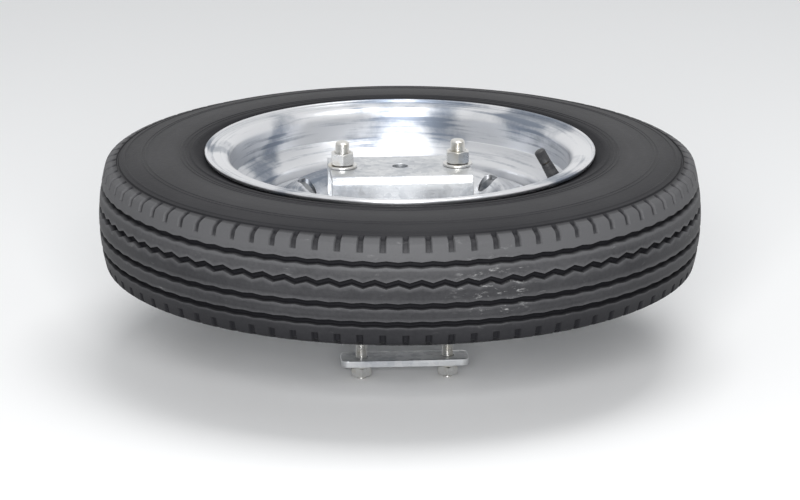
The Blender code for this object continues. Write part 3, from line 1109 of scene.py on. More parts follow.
    def build(self) -> None:
        """Make the casing as one ring of rows, store on it how far it is greyed by dust and painted light and
        shade, and dress it.

        A row's radius is the crown or sidewall less its groove; its height swings with the zigzag; and notch
        rows move inward along the row's normal by the notch's share in that column.
        """
        side = self.side_rows()
        height, depth, swing = self.tread_rows()
        tread = np.stack([self.crown(height), height], 1)
        lower = (1.0, -1.0)
        outer = np.vstack([side, tread, side[::-1] * lower])
        grooves, swings = (np.pad(row, len(side))[:, None] for row in (depth, swing))
        place, zigzag, notch = (np.tile(column, self.teeth) for column in self.TOOTH.T)
        angle = (np.repeat(np.arange(self.teeth), len(self.TOOTH)) + place) / self.teeth * TURN
        share = np.outer(self.notched(outer), notch)
        moved = outer[:, None] - unit_rows(path_normals(outer))[:, None] * self.notch_deep * share[..., None]
        half_inside = np.vstack([self.INSIDE * MM, (self.INSIDE_CROWN, 0.0)])
        inside = np.vstack([half_inside * lower, half_inside[-2::-1]])
        hollow = np.broadcast_to(inside[:, None], (len(inside), angle.size, 2))
        radius = np.vstack([moved[..., 0] - grooves, hollow[..., 0]])
        rise = np.vstack([moved[..., 1] + swings * zigzag, hollow[..., 1]]) + self.hub
        mesh = Skin.over(turned(radius, rise, angle[None, :]), ring=True).mesh("casing")
        # notch_shade paints shade into the shoulder notches.
        grey = self.sheen_and_dust(outer, grooves[:, 0])[:, None] * (1.0 - self.notch_shade * share)
        marked = np.vstack([grey, np.zeros_like(hollow[..., 0])])
        mesh.attributes.new(SHEEN_AND_DUST_ATTRIBUTE, "FLOAT", "POINT").data.foreach_set("value", marked.ravel())
        install("casing", mesh, CasingRubber(self.hub).material(), "wheel", ["tyre"])


@dataclass
class Rim:
    """The rim: a drop-centre barrel with rolled lips, a welded seam and the valve's hole."""

    columns: int = 288
    wall: float = 3.0 * MM
    bead: float = 152.4 * MM
    well: float = 131.0 * MM
    flange_z: float = 51.2 * MM
    slope_top: float = 24.5 * MM
    well_half: float = 12.5 * MM
    seam_angle: float = math.radians(238.0)
    seam_half: float = 3.0 * MM
    seam_proud: float = 0.35 * MM
    valve_hole: float = 5.8 * MM
    drill_reach: float = 14.0 * MM
    flange_bend: float = 3.8 * MM
    bead_bend: float = 6.0 * MM
    well_bend: float = 4.0 * MM

    def __post_init__(self) -> None:
        """Read the rim's place and size from the frame."""
        place = Place.of("rim_barrel")
        self.flange = place.half.x
        self.lip = place.half.z
        self.hub = place.middle.z

    def valve_frame(self) -> Matrix:
        """The valve's place on the slope, with its axis as the cap's joint has it.

        Returns:
            The place, with the valve's axis along +Z.
        """
        axis = next(Vector(joint["axis"]) for joint in frame["joints"] if joint["name"] == "cap_off")
        height = self.hub + (self.slope_top + self.well_half) / 2
        place = Matrix.Translation(((self.bead + self.well) / 2, 0.0, height))
        return place @ axis.to_track_quat("Z", "Y").to_matrix().to_4x4()

    def skin(self) -> Skin:
        """The barrel: a wall's outline turned round the axis, a little proud at the seam.

        Returns:
            The barrel's surface.
        """
        edge = self.wall / 2
        half = [
            (self.flange, self.lip - edge, 0.0),
            (self.flange, self.flange_z, self.flange_bend),
            (self.bead, self.flange_z, self.bead_bend),
            (self.bead, self.slope_top, self.well_bend),
            (self.well, self.well_half, self.well_bend),
        ]
        corners = half + [(radius, -height, bend) for radius, height, bend in reversed(half)]
        face = densified(filleted(corners, 7), 4.0 * MM)
        loop = shell_loop(face, -self.wall, edge, 7)
        angle = around(self.columns)
        apart = (angle - self.seam_angle) * self.bead / self.seam_half
        proud = self.seam_proud * np.exp(-(apart**2))
        inner = (np.arange(len(loop)) >= len(face))[:, None]
        return Skin.over(turned(loop[:, :1] - proud * inner, loop[:, 1:] + self.hub, angle), ring=True)

    def build(self) -> None:
        """Make the rim and dress it."""
        rows = [(self.valve_hole, self.drill_reach), (self.valve_hole, -self.drill_reach)]
        drill = Lathe(40).path(np.array(rows)).skin()
        mesh = self.skin().cut("rim_shell", [drill.moved(self.valve_frame())])
        install("rim_shell", mesh, BrightZinc().material(), "wheel", ["rim_barrel"])


@dataclass
class CentreDisc:
    """The pressed disc: flat pad with coined lug seats, raised ring with vents, skirt welded in the well."""

    columns: int = 240
    wall: float = 3.5 * MM
    bore: float = 32.5 * MM
    pad: float = 75.5 * MM
    crest: float = 93.5 * MM
    crest_half: float = 4.0 * MM
    ramp_in: float = 10.0 * MM
    ramp_foot: float = 8.0 * MM
    skirt_top: float = 5.5 * MM
    lug_hole: float = 7.8 * MM
    lug_seat: float = 13.5 * MM
    seat_proud: float = 0.8 * MM
    vents: int = 8
    vent: float = 8.5 * MM
    vent_at: float = 87.0 * MM
    vent_roll: float = 3.2 * MM
    vent_proud: float = 0.9 * MM
    seat_slope: float = 3.5 * MM
    bend: float = 6.0 * MM
    skirt_bend: float = 4.5 * MM
    skirt_lift: float = 0.5 * MM
    weld_reach: float = math.radians(17.0)
    weld_radius: float = 2.1 * MM
    weld_in: float = 1.2 * MM
    weld_under: float = 0.6 * MM
    weld_ripples: int = 26
    weld_ripple: float = 0.07

    def __post_init__(self) -> None:
        """Read the disc's place and size from the frame."""
        place = Place.of("wheel_disc")
        self.edge = place.half.x
        self.top = place.high.z
        self.low = place.low.z
        self.hub = Place.of("rim_barrel").middle.z
        self.stud = abs(Place.of("wheel_stud_right").middle.x)

    def lug_places(self) -> np.ndarray:
        """Centres of the four lug holes."""
        angle = np.arange(4) * TURN / 4
        return self.stud * np.stack([np.cos(angle), np.sin(angle)], 1)

    def vent_places(self) -> np.ndarray:
        """Centres of the vents."""
        angle = (np.arange(self.vents) + 0.5) * TURN / self.vents
        return self.vent_at * np.stack([np.cos(angle), np.sin(angle)], 1)

    @staticmethod
    def nearest(grid: np.ndarray, places: np.ndarray) -> np.ndarray:
        """Distance in plan from each point of a grid to the nearest of some places.

        Args:
            grid: the points.
            places: x and y of each place.

        Returns:
            The distance at each point.
        """
        apart = grid[..., None, :2] - places
        return np.linalg.norm(apart, axis=-1).min(-1)

    def skin(self) -> Skin:
        """The pressing: a wall's outline turned round the axis and embossed.

        Height gains a smooth boss round each lug hole and a smooth roll round each vent, each a raised cosine
        of the distance.

        Returns:
            The pressing's surface, without its holes.
        """
        crest_z = self.top - self.hub
        corners = [
            (self.bore, self.wall, 0.0),
            (self.pad, self.wall, self.bend),
            (self.crest - self.crest_half, crest_z, self.bend),
            (self.crest + self.crest_half, crest_z, self.bend),
            (self.edge - self.ramp_in, self.ramp_foot, self.bend),
            (self.edge, self.skirt_top, self.skirt_bend),
            (self.edge, self.low - self.hub + self.skirt_lift, 0.0),
        ]
        loop = shell_loop(densified(filleted(corners, 6), 1.7 * MM), -self.wall, 0.5 * MM, 3)
        grid = turned(loop[:, :1], loop[:, 1:] + self.hub, around(self.columns))
        inside_seat = self.lug_seat - self.nearest(grid, self.lug_places())
        boss = np.clip(inside_seat / self.seat_slope, 0.0, 1.0)
        off_rim = np.abs(self.nearest(grid, self.vent_places()) - self.vent)
        roll = np.clip(1.0 - off_rim / self.vent_roll, 0.0, 1.0)
        for share, proud in ((boss, self.seat_proud), (roll, self.vent_proud)):
            grid[..., 2] += proud * (0.5 - 0.5 * np.cos(math.pi * share))
        return Skin.over(grid, ring=True)

    def tools(self) -> list[Skin]:
        """Drills for the lug holes, coned at the top, and for the vents.

        Returns:
            The drills' surfaces.
        """
        face = self.hub + self.wall + self.seat_proud
        cone, past = 1.6 * MM, 2.0 * MM
        lug_rows = [
            (self.lug_hole + cone + past, face + past),
            (self.lug_hole, face - cone),
            (self.lug_hole, self.hub - 5.0 * MM),
        ]
        drills = [Lathe(40).path(np.array(lug_rows)).skin(x, y) for x, y in self.lug_places()]
        for x, y in self.vent_places():
            vent_rows = [(self.vent, self.top + 6.0 * MM), (self.vent, self.hub - 6.0 * MM)]
            drills.append(Lathe(40).path(np.array(vent_rows)).skin(x, y))
        return drills

    def build(self) -> None:
        """Make the disc and its weld beads and dress them."""
        mesh = self.skin().cut("centre_disc", self.tools())
        finish = BrightZinc("pressed_zinc", patch_seed=5.0, patch_scale=17.0).material()
        install("centre_disc", mesh, finish, "wheel", ["wheel_disc"])
        welds = Skin.merged([self.weld(index * TURN / 4 + TURN / 8) for index in range(4)])
        install("well_welds", welds.mesh("well_welds"), WELD_METAL.material(), "wheel")

    def weld(self, middle: float) -> Skin:
        """One weld bead under the skirt's edge: a rippled round bar along an arc, tapered at both ends.

        Args:
            middle: the angle of its middle.

        Returns:
            The bead's surface.
        """
        share = np.linspace(-1.0, 1.0, self.weld_ripples * 6)[:, None]
        taper = np.sqrt(np.clip(1.0 - np.abs(share) ** 8, 0.004, 1.0))
        ripple = 1.0 + self.weld_ripple * np.cos(share * self.weld_ripples * math.pi)
        bar = self.weld_radius * taper * ripple
        across = around(12)
        from_axis = self.edge - self.weld_in + bar * np.cos(across)
        height = self.low - self.weld_under + bar * np.sin(across)
        return Skin.over(turned(from_axis, height, middle + share * self.weld_reach))


@dataclass(frozen=True)
class Thread:
    """A V thread of the usual depth, 0.61 of its pitch."""

    radius: float
    pitch: float
    samples: int = 7

    def rows(self, high: float, low: float, angle: np.ndarray) -> tuple[np.ndarray, np.ndarray]:
        """Rows of a threaded stretch from one height to another.

        The radius falls from the crest by the depth times a triangle wave of height / pitch - angle / turn.

        Args:
            high: where the stretch starts.
            low: where it ends.
            angle: the columns' angles.

        Returns:
            Radius by row and column, and height by row.
        """
        count = int(abs(high - low) / self.pitch * self.samples) + 2
        height = np.linspace(high, low, count)[:, None]
        wave = np.abs(2.0 * ((height / self.pitch - angle / TURN) % 1.0) - 1.0)
        depth = 0.61 * self.pitch * np.clip(1.25 * wave - 0.12, 0.0, 1.0)
        return self.radius - depth, height


def hexagon(angle: np.ndarray, flats: float) -> np.ndarray:
    """Radius of a hexagon: half the flats over the cosine of the angle from the nearest flat's middle.

    Args:
        angle: the columns' angles.
        flats: width across the flats.

    Returns:
        The radius at each angle.
    """
    off = np.abs((angle + TURN / 12) % (TURN / 6) - TURN / 12)
    return flats / 2 / np.cos(off)


CORNER_SLOPE = math.tan(math.radians(30.0))
CHAMFER_SHARE = 0.475  # of the flats: radius at which a hexagon's corners start to fall away


@dataclass
class HexNut:
    """A hexagon nut with chamfered corners and a threaded bore."""

    node: str
    name: str
    body: str
    bore: float
    pitch: float

    def build(self, finish: bpy.types.Material) -> None:
        """Make the nut at its node's place and dress it.

        Args:
            finish: its material.
        """
        place = Place.of(self.node)
        flats, low, high = 2 * place.half.x, place.low.z, place.high.z
        lathe = Lathe(72)
        hexed = hexagon(lathe.angle, flats)
        chamfer = flats * CHAMFER_SHARE
        fall = (hexed - chamfer) * CORNER_SLOPE
        mouth, groove = 0.9 * MM, 0.6 * self.pitch
        lathe.add(self.bore + mouth, high).add(chamfer, high).add(hexed, high - fall)
        lathe.add(hexed, low + fall).add(chamfer, low).add(self.bore + mouth, low)
        thread = Thread(self.bore + groove, self.pitch, 5)
        crest, height = thread.rows(low + mouth, high - mouth, lathe.angle)
        lathe.add(crest, height)
        x, y, _ = place.middle
        mesh = lathe.skin(x, y, ring=True).mesh(self.name)
        install(self.name, mesh, finish, self.body, [self.node])


@dataclass
class FlatWasher:
    """A punched washer with one rolled edge and one sharper one."""

    node: str
    name: str
    body: str
    bore: float

    def build(self, finish: bpy.types.Material) -> None:
        """Make the washer at its node's place and dress it.

        Args:
            finish: its material.
        """
        place = Place.of(self.node)
        outer, low, high = place.half.x, place.low.z, place.high.z
        roll, burr = 0.6 * MM, 0.25 * MM
        corners = [
            (self.bore, (low + high) / 2, 0.0),
            (self.bore, high, roll),
            (outer, high, roll),
            (outer, low, burr),
            (self.bore, low, burr),
            (self.bore, (low + high) / 2, 0.0),
        ]
        x, y, _ = place.middle
        rows = filleted(corners, 4)[:-1]
        mesh = Lathe(56).path(rows).skin(x, y, ring=True).mesh(self.name)
        install(self.name, mesh, finish, self.body, [self.node])


@dataclass
class ClampBolt:
    """A hexagon bolt: dished and chamfered head, washer face, plain shank and a threaded end."""

    node: str
    name: str
    shank: float = 5.0 * MM
    head_high: float = 6.4 * MM
    pitch: float = 1.5 * MM
    thread_long: float = 34.0 * MM
    point: float = 1.4 * MM

    # Radii in the head's dish and on its washer face, as shares of the flats
    HEAD_SHARES = np.array([0.22, 0.36, 0.39, 0.46, 0.47])

    def build(self, finish: bpy.types.Material) -> None:
        """Make the bolt at its node's place and dress it.

        Args:
            finish: its material.
        """
        place = Place.of(self.node)
        flats, low, high = 2 * place.half.x, place.low.z, place.high.z
        seat = high - self.head_high
        lathe = Lathe(72)
        hexed = hexagon(lathe.angle, flats)
        chamfer, face, dish = flats * CHAMFER_SHARE, 0.35 * MM, 0.3 * MM
        fall = (hexed - chamfer) * CORNER_SLOPE
        dish_middle, dish_side, dish_rim, face_foot, face_top = flats * self.HEAD_SHARES
        lathe.add(dish_middle, high - dish).add(dish_side, high - dish).add(dish_rim, high)
        lathe.add(chamfer, high).add(hexed, high - fall).add(hexed, seat + face)
        lathe.add(face_top, seat + face).add(face_foot, seat)
        lathe.add(self.shank + face, seat).add(self.shank, seat - face)
        start = low + self.thread_long
        lathe.add(self.shank, start + 0.5 * MM)
        crest, height = Thread(self.shank, self.pitch).rows(start, low, lathe.angle)
        lathe.add(np.minimum(crest, self.shank - self.point + (height - low)), height)
        x, y, _ = place.middle
        install(self.name, lathe.skin(x, y).mesh(self.name), finish, "carrier", [self.node])


@dataclass
class WheelStud:
    """A pressed-in stud: round head under the bracket, knurled neck, and a long half inch thread."""

    side: str
    radius: float = 6.35 * MM
    pitch: float = 1.27 * MM
    head: float = 9.5 * MM
    head_high: float = 5.0 * MM
    neck_long: float = 4.0 * MM
    knurls: int = 18
    knurl_deep: float = 0.30 * MM
    point: float = 1.3 * MM

    def build(self, finish: bpy.types.Material) -> None:
        """Make the stud at its node's place and dress it.

        Args:
            finish: its material.
        """
        node = f"wheel_stud_{self.side}"
        place = Place.of(node)
        low, high = place.low.z, place.high.z
        seat = low + self.head_high
        lathe = Lathe(self.knurls * 4)
        thread_end = seat + self.neck_long + 1.0 * MM
        crest, height = Thread(self.radius, self.pitch).rows(high, thread_end, lathe.angle)
        lathe.add(np.minimum(crest, self.radius - self.point + (high - height)), height)
        knurl = self.radius - self.knurl_deep * (0.5 - 0.5 * np.cos(lathe.angle * self.knurls))
        lathe.add(knurl, seat + self.neck_long).add(knurl, seat + 0.4 * MM)
        head = [
            (self.radius + 0.2 * MM, seat, 0.0),
            (self.head, seat, 0.5 * MM),
            (self.head, low, 1.6 * MM),
            (self.radius * 0.5, low, 0.0),
        ]
        lathe.path(filleted(head, 5))
        x, y, _ = place.middle
        name = f"threaded_stud_{self.side}"
        install(name, lathe.skin(x, y).mesh(name), finish, "carrier", [node])


@dataclass
class BentPlate:
    """A flat or bent steel plate: a rounded bar section carried along a path in the YZ plane.

    At each point of the path the section is a rectangle with rounded edges, as wide as the plate across X and
    as deep as its wall along the path's normal. Near each end it narrows by a quarter circle, which rounds
    the plate's corners in plan.
    """

    node: str
    name: str
    body: str
    wall: float
    corner: float
    holes: Sequence[tuple[float, float, float]]
    hole_wall: Sequence[tuple[float, float]]
    bends: Sequence[tuple[float, float, float]] = ()
    edge: float = 0.5 * MM
    edge_share: float = 0.6
    hole_chamfer: float = 0.4 * MM

    def section(self, half_width: float) -> np.ndarray:
        """Loop round the plate's section, as (across, through).

        Args:
            half_width: half the plate's width.

        Returns:
            The loop's points.
        """
        deep = self.wall / 2
        corners = [(half_width, deep), (-half_width, deep), (-half_width, -deep), (half_width, -deep)]
        ring = [(0.0, deep, 0.0)] + [(*corners[k], self.edge) for k in (1, 2, 3, 0)] + [(0.0, deep, 0.0)]
        return densified(filleted(ring, 3)[:-1], 8.0 * MM)

    def middle_line(self) -> np.ndarray:
        """The path of the wall's middle, as (y, z).

        Returns:
            The path's points.
        """
        place = Place.of(self.node)
        if self.bends:
            return filleted(self.bends, 10)
        return np.array([(place.low.y, place.middle.z), (place.high.y, place.middle.z)])

    def skin(self) -> Skin:
        """The plate's surface, from one end of the path to the other.

        Returns:
            The surface, without its holes.
        """
        place = Place.of(self.node)
        fine = densified(self.middle_line(), 6.0 * MM)
        near = self.corner * (1.0 - np.cos(np.linspace(0.0, math.pi / 2, 7)))
        path = self.spliced(fine, near)
        run = run_along(path)
        to_end = np.minimum(run, run[-1] - run)
        inset = np.clip(self.corner - to_end, 0.0, self.corner)
        narrow = self.corner - np.sqrt(np.maximum(self.corner**2 - inset**2, 0.0))
        thin = np.clip(1.0 - to_end / self.edge, 0.0, 1.0) * self.edge * self.edge_share
        across, through = self.section(place.half.x).T
        across = across - np.sign(across) * np.minimum(narrow[:, None], np.abs(across))
        through = through * (1.0 - thin[:, None] / (self.wall / 2))
        normal = path_normals(path)
        y = path[:, :1] + normal[:, :1] * through
        z = path[:, 1:] + normal[:, 1:] * through
        return Skin.over(np.stack([place.middle.x + across, y, z], -1))

    @staticmethod
    def spliced(path: np.ndarray, near: np.ndarray) -> np.ndarray:
        """The path with extra points at given distances from both its ends.

        Args:
            path: the path's points.
            near: the distances.

        Returns:
            The path with its extra points.
        """
        run = run_along(path)
        marks = np.unique(np.round(np.concatenate([run, near, run[-1] - near]), 6))
        marks = marks[np.concatenate([[True], np.diff(marks) > 0.05 * MM])]
        return np.stack([np.interp(marks, run, path[:, axis]) for axis in range(2)], 1)

    def build(self, finish: bpy.types.Material) -> None:
        """Make the plate, drill it and dress it.

        Args:
            finish: its material.
        """
        tools = [
            hole_tool(x, y, radius, low, high, self.hole_chamfer)
            for (x, y, radius), (low, high) in zip(self.holes, self.hole_wall)
        ]
        mesh = self.skin().cut(self.name, tools)
        install(self.name, mesh, finish, self.body, [self.node])


@dataclass
class Carrier:
    """What stays on the tongue: saddle plate, hat-shaped bracket, studs, and two bars with their bolts."""

    riser_wall: float = 4.0 * MM
    riser_bend: float = 5.0 * MM
    foot_bend: float = 1.0 * MM
    bolt_hole: float = 5.6 * MM
    stud_hole: float = 6.8 * MM
    clamp_bore: float = 5.3 * MM
    pitch: float = 1.5 * MM

    CORNERS = ("front_left", "front_right", "rear_left", "rear_right")

    def bolt_places(self, corners: Sequence[str]) -> list[tuple[float, float, float]]:
        """Centre and radius of the bolt holes at some corners."""
        middles = [Place.of(f"clamp_bolt_{corner}").middle for corner in corners]
        return [(middle.x, middle.y, self.bolt_hole) for middle in middles]

    def saddle(self) -> BentPlate:
        """The plate that rests on the tongue.

        Returns:
            The plate.
        """
        place = Place.of("base_plate")
        walls = [(place.low.z, place.high.z)] * len(self.CORNERS)
        thick = place.half.z * 2
        holes = self.bolt_places(self.CORNERS)
        return BentPlate("base_plate", "saddle_plate", "carrier", thick, 8.0 * MM, holes, walls)

    def bar(self, end: str) -> BentPlate:
        """One of the bars under the tongue.

        Args:
            end: front or rear.

        Returns:
            The bar.
        """
        node = f"clamp_bar_{end}"
        place = Place.of(node)
        corners = [corner for corner in self.CORNERS if corner.startswith(end)]
        walls = [(place.low.z, place.high.z)] * 2
        holes = self.bolt_places(corners)
        return BentPlate(node, f"{end}_bar", "carrier", place.half.z * 2, 6.0 * MM, holes, walls)

    def bracket(self) -> BentPlate:
        """The hat-shaped bracket: foot, leg, web, leg and foot, as the middle of its wall.

        Returns:
            The bracket.
        """
        place = Place.of("riser_bracket")
        half = self.riser_wall / 2
        stud = Place.of("wheel_stud_right").middle.x
        foot_y, leg_y = place.high.y, Place.of("retainer_channel").half.y - half
        foot_z, web_z = place.low.z + half, place.high.z - half
        rise = [
            (foot_y, foot_z, 0.0),
            (leg_y, foot_z, self.foot_bend + half),
            (leg_y, web_z, self.riser_bend - half),
        ]
        bends = rise + [(-y, z, bend) for y, z, bend in reversed(rise)]
        holes = self.bolt_places(self.CORNERS) + [(x, 0.0, self.stud_hole) for x in (-stud, stud)]
        walls = [(foot_z - half, foot_z + half)] * 4 + [(web_z - half, web_z + half)] * 2
        return BentPlate(
            "riser_bracket", "hat_bracket", "carrier", self.riser_wall, 5.0 * MM, holes, walls, bends
        )

    def build(self) -> None:
        """Make the carrier's pieces and dress them."""
        saddle_finish = DippedZinc("saddle_zinc", Grain.ALONG_Y).material()
        bracket_finish = DippedZinc("bracket_zinc", Grain.ALONG_X).material()
        self.saddle().build(saddle_finish)
        self.bracket().build(bracket_finish)
        for end in ("front", "rear"):
            self.bar(end).build(bracket_finish)
        plated = PLATED_STEEL.material()
        for side in ("left", "right"):
            WheelStud(side).build(plated)
        for corner in self.CORNERS:
            ClampBolt(f"clamp_bolt_{corner}", f"hex_bolt_{corner}").build(plated)
            nut = HexNut(f"clamp_nut_{corner}", f"hex_nut_{corner}", "carrier", self.clamp_bore, self.pitch)
            nut.build(plated)
            for level in ("upper", "lower"):
                node = f"clamp_washer_{level}_{corner}"
                washer = FlatWasher(node, f"flat_washer_{level}_{corner}", "carrier", self.clamp_bore)
                washer.build(plated)


@dataclass
class HoldDown:
    """What comes off above the disc: the channel over the studs, its washers and its nuts."""

    wall: float = 5.0 * MM
    bend: float = 7.0 * MM
    hole: float = 7.0 * MM
    bore: float = 6.65 * MM
    pitch: float = 1.27 * MM

    def channel(self) -> BentPlate:
        """The channel: leg, web and leg, as the middle of its wall.

        Returns:
            The channel.
        """
        place = Place.of("retainer_channel")
        half = self.wall / 2
        leg_y, foot_z, web_z = place.high.y - half, place.low.z, place.high.z - half
        leg = [(leg_y, foot_z, 0.0), (leg_y, web_z, self.bend - half)]
        bends = leg + [(-y, z, bend) for y, z, bend in reversed(leg)]
        stud = Place.of("wheel_stud_right").middle.x
        holes = [(x, 0.0, self.hole) for x in (-stud, 0.0, stud)]
        walls = [(web_z - half, web_z + half)] * 3
        return BentPlate(
            "retainer_channel", "hold_down_channel", "retainer", self.wall, 4.0 * MM, holes, walls, bends
        )

    def build(self) -> None:
        """Make the pieces and dress them."""
        self.channel().build(DippedZinc("channel_zinc", Grain.ALONG_X).material())
        plated = replace(PLATED_STEEL, name="plated_wheel_nut").material()
        for side in ("left", "right"):
            washer = FlatWasher(f"wheel_washer_{side}", f"lug_washer_{side}", f"washer_{side}", self.bore)
            washer.build(plated)
            nut = HexNut(f"wheel_nut_{side}", f"lug_nut_{side}", f"nut_{side}", self.bore, self.pitch)
            nut.build(plated)


@dataclass
class Valve:
    """The snap-in valve: rubber stem, brass tube, core pin and knurled dust cap, on the valve's own axis."""

    long: float = 26.0 * MM
    bore: float = 3.0 * MM
    gap: float = 0.3 * MM
    neck: float = 5.5 * MM
    wall: float = 3.0 * MM
    seat: float = 0.6 * MM
    tip: float = 9.0 * MM
    thread: float = 3.8 * MM
    pitch: float = 0.79 * MM
    room: float = 1.6 * MM
    cap: float = 4.9 * MM
    flutes: int = 20
    flute_deep: float = 0.32 * MM
    ridge_apart: float = 2.6 * MM
    ridge_proud: float = 0.22 * MM

    def stem(self) -> Skin:
        """Rubber stem: foot inside the rim, neck through it, collar, ridged body and nose.

        Returns:
            The stem's surface.
        """
        over, under = self.wall + self.seat, -self.seat
        corners = [
            (self.bore, 10.0 * MM, 0.0),
            (self.bore, self.long, 0.0),
            (4.8 * MM, self.long, 0.5 * MM),
            (5.6 * MM, 12.0 * MM, 3.0 * MM),
            (7.0 * MM, over, 0.8 * MM),
            (self.neck, over, 0.0),
            (self.neck, under, 0.0),
            (9.2 * MM, under, 0.6 * MM),
            (8.0 * MM, under - 5.0 * MM, 1.6 * MM),
            (self.bore, under - 5.0 * MM, 0.0),
        ]
        rows = densified(filleted(corners, 5), 0.8 * MM)
        body = (rows[:, 0] > self.bore + 1.0 * MM) & (rows[:, 1] > over + 2.0 * MM)
        ridge = np.clip(np.cos(rows[:, 1] / self.ridge_apart * TURN) * 3.0 - 1.6, 0.0, 1.0)
        rows[:, 0] += self.ridge_proud * ridge * (body & (rows[:, 1] < self.long - 2.0 * MM))
        return Lathe(48).path(rows).skin(ring=True)

    def tube(self) -> Skin:
        """Brass tube, threaded above the rubber.

        Returns:
            The tube's surface.
        """
        low, inner = self.long + self.gap, self.bore - self.gap
        top = low + self.tip
        lathe = Lathe(48).add(self.room, -self.seat - 4.0 * MM).add(self.room, top)
        crest, height = Thread(self.thread, self.pitch).rows(top, low + 1.2 * MM, lathe.angle)
        lathe.add(np.minimum(crest, self.thread - 0.5 * MM + (top - height)), height)
        lathe.add(self.thread - 0.5 * MM, low + 1.0 * MM)
        lathe.add(self.thread, low + 0.6 * MM).add(self.thread, low)
        lathe.add(inner, low).add(inner, -self.seat - 4.0 * MM)
        return lathe.skin(ring=True)

    def pin(self) -> Skin:
        """Core pin: a thin rod with a domed end and a plunger inside the tube.

        Returns:
            The pin's surface.
        """
        top = self.long + self.gap + self.tip + 0.2 * MM
        plunger = self.room - self.gap
        rows = [
            (0.3 * MM, top),
            (0.6 * MM, top - 0.15 * MM),
            (0.7 * MM, top - 0.4 * MM),
            (0.7 * MM, self.long - 8.0 * MM),
            (plunger, self.long - 9.0 * MM),
            (plunger, self.long - 11.6 * MM),
            (plunger - 0.4 * MM, self.long - 12.0 * MM),
        ]
        return Lathe(32).path(np.array(rows)).skin()

    def dust_cap(self) -> Skin:
        """Cap: a domed cup whose outside is cut by shallow flutes, its radius less their cosine.

        Returns:
            The cap's surface.
        """
        low = self.long + 2 * self.gap
        end = low - self.gap + self.tip
        top, mouth = end + 4.0 * MM, self.thread + self.gap
        lathe = Lathe(self.flutes * 4)
        flute = self.flute_deep * (0.5 - 0.5 * np.cos(lathe.angle * self.flutes))
        rows = [
            (1.2 * MM, top),
            (self.cap - 1.6 * MM, top - 0.15 * MM),
            (self.cap - 0.7 * MM, top - 0.8 * MM),
            (self.cap - flute * 0.4, top - 1.6 * MM),
            (self.cap - flute, top - 2.2 * MM),
            (self.cap - flute, low + 1.6 * MM),
            (self.cap, low + 1.1 * MM),
            (self.cap, low + 0.3 * MM),
            (self.cap - 0.3 * MM, low),
            (mouth + 0.2 * MM, low),
            (mouth, low + 0.3 * MM),
            (mouth, end + 1.8 * MM),
            (1.0 * MM, end + 1.8 * MM),
        ]
        for radius, height in rows:
            lathe.add(radius, height)
        return lathe.skin()

    def build(self, at: Matrix) -> None:
        """Make the valve's pieces on the rim's slope and dress them.

        Args:
            at: the valve's frame, its axis along +Z.
        """
        rubber, brass, plastic = (kind.material() for kind in (STEM_RUBBER, TURNED_BRASS, MOULDED_PLASTIC))
        parts = (
            ("stem_rubber", self.stem(), rubber, "wheel", Slot.STEM, "valve_stem"),
            ("stem_tube", self.tube(), brass, "wheel", Slot.BRASS, "valve_insert"),
            ("core_pin", self.pin(), brass, "pin", Slot.BRASS, "valve_pin"),
            ("dust_cap", self.dust_cap(), plastic, "cap", Slot.CAP, "valve_cap"),
        )
        for name, skin, finish, body, slot, node in parts:
            install(name, skin.moved(at).mesh(name), finish, body, [node])


# Floor, light and camera


@dataclass(frozen=True)
class Lamp:
    """A square soft lamp that faces the wheel."""

    name: str
    place: tuple[float, float, float]
    size: float
    power: float

    def build(self) -> None:
        """Hang the lamp."""
        data = bpy.data.lights.new(self.name, "AREA")
        data.shape = "SQUARE"
        data.size = self.size
        data.energy = self.power
        made = bpy.data.objects.new(self.name, data)
        made.location = self.place
        made.rotation_euler = (-Vector(self.place)).to_track_quat("-Z", "Y").to_euler()
        bpy.context.scene.collection.objects.link(made)


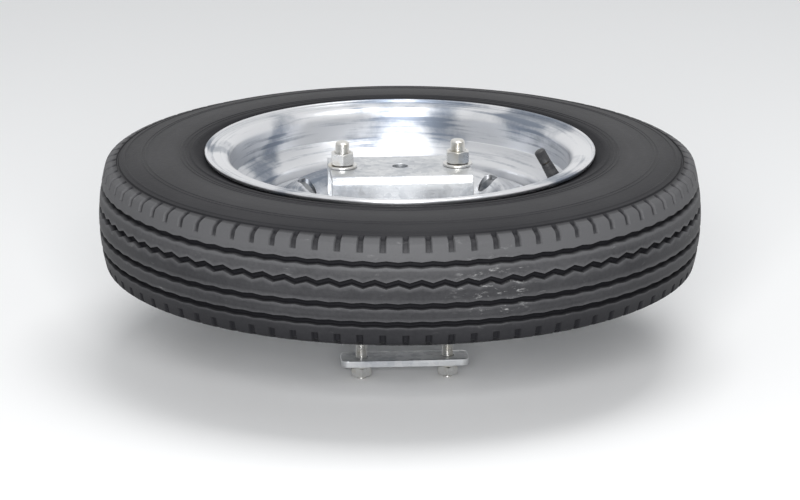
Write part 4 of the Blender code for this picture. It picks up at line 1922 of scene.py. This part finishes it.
@dataclass
class Studio:
    """A plain pale floor, a white room, soft lamps, and the camera at the photograph's viewing angle."""

    axis_distance: float = 5.07  # from the wheel's axis, level
    aside: float = -0.355
    above_lip: float = 1.380
    lip: float = 0.1231
    wheel_pixels: float = 600.0
    frame_pixels: float = 800.0
    sensor: float = 36.0
    floor_half: float = 6.0
    floor_under: float = 0.5 * MM
    floor_greys: tuple[Colour, Colour] = ((0.92, 0.92, 0.92), (0.94, 0.94, 0.94))
    sky: Colour = (0.94, 0.97, 1.0)
    sky_strength: float = 0.36
    lamps: tuple[Lamp, ...] = (
        Lamp("overhead", (0.3, -0.1, 2.6), 1.6, 30.0),
        Lamp("front", (-0.32, -3.4, 1.35), 1.35, 135.0),
    )

    def camera(self) -> None:
        """Stand the camera at the photograph's angle, with a lens that fills the frame with the wheel."""
        low, high = CAD_BOX
        target = (low + high) / 2
        place = Vector((self.aside, -self.axis_distance, self.lip + self.above_lip))
        away = (place - target).length
        data = bpy.data.cameras.new("view")
        data.sensor_width = self.sensor
        data.lens = self.wheel_pixels * away / (high.x - low.x) / self.frame_pixels * self.sensor
        made = bpy.data.objects.new("view", data)
        made.location = place
        made.rotation_euler = (target - place).to_track_quat("-Z", "Y").to_euler()
        bpy.context.scene.collection.objects.link(made)
        bpy.context.scene.camera = made

    def floor(self) -> None:
        """A pale matt floor just under the lowest nut."""
        height, half = CAD_BOX[0].z - self.floor_under, self.floor_half
        mesh = bpy.data.meshes.new("floor")
        corners = [(x * half, y * half, height) for x, y in ((-1, -1), (1, -1), (1, 1), (-1, 1))]
        mesh.from_pydata(corners, [], [(0, 1, 2, 3)])
        tree = FinishTree("floor_paint")
        tint = tree.noise(tree.place, 2.0, 2.0)
        paint = tree.finish(Base_Color=tree.mix(tint, *self.floor_greys), Roughness=0.9)
        mesh.materials.append(paint)
        made = bpy.data.objects.new("floor", mesh)
        bpy.context.scene.collection.objects.link(made)

    def room(self) -> None:
        """White to the camera and in reflections, dimmer as a light."""
        world = bpy.data.worlds.new("room")
        bpy.context.scene.world = world
        world.use_nodes = True
        nodes, links = world.node_tree.nodes, world.node_tree.links
        seen = nodes["Background"]
        seen.inputs["Color"].default_value = (1.0, 1.0, 1.0, 1.0)
        seen.inputs["Strength"].default_value = 1.0
        lit = nodes.new("ShaderNodeBackground")
        lit.inputs["Color"].default_value = (*self.sky, 1.0)
        lit.inputs["Strength"].default_value = self.sky_strength
        path, blend = nodes.new("ShaderNodeLightPath"), nodes.new("ShaderNodeMixShader")
        share = path.outputs["Is Camera Ray"]
        for ray in ("Is Glossy Ray", "Is Transmission Ray"):
            either = nodes.new("ShaderNodeMath")
            either.operation = "MAXIMUM"
            links.new(share, either.inputs[0])
            links.new(path.outputs[ray], either.inputs[1])
            share = either.outputs[0]
        links.new(share, blend.inputs[0])
        links.new(lit.outputs[0], blend.inputs[1])
        links.new(seen.outputs[0], blend.inputs[2])
        links.new(blend.outputs[0], nodes["World Output"].inputs["Surface"])

    def build(self) -> None:
        """Set the stage."""
        self.floor()
        self.room()
        for lamp in self.lamps:
            lamp.build()
        self.camera()
        bpy.context.scene.view_settings.view_transform = "Standard"


def main() -> None:
    """Build every piece and the studio."""
    logging.basicConfig(level=logging.INFO, format="%(message)s")
    rim = Rim()
    for assembly in (Casing(), rim, CentreDisc(), Carrier(), HoldDown()):
        assembly.build()
    Valve().build(rim.valve_frame())
    Studio().build()


if __name__ == "__main__":
    main()
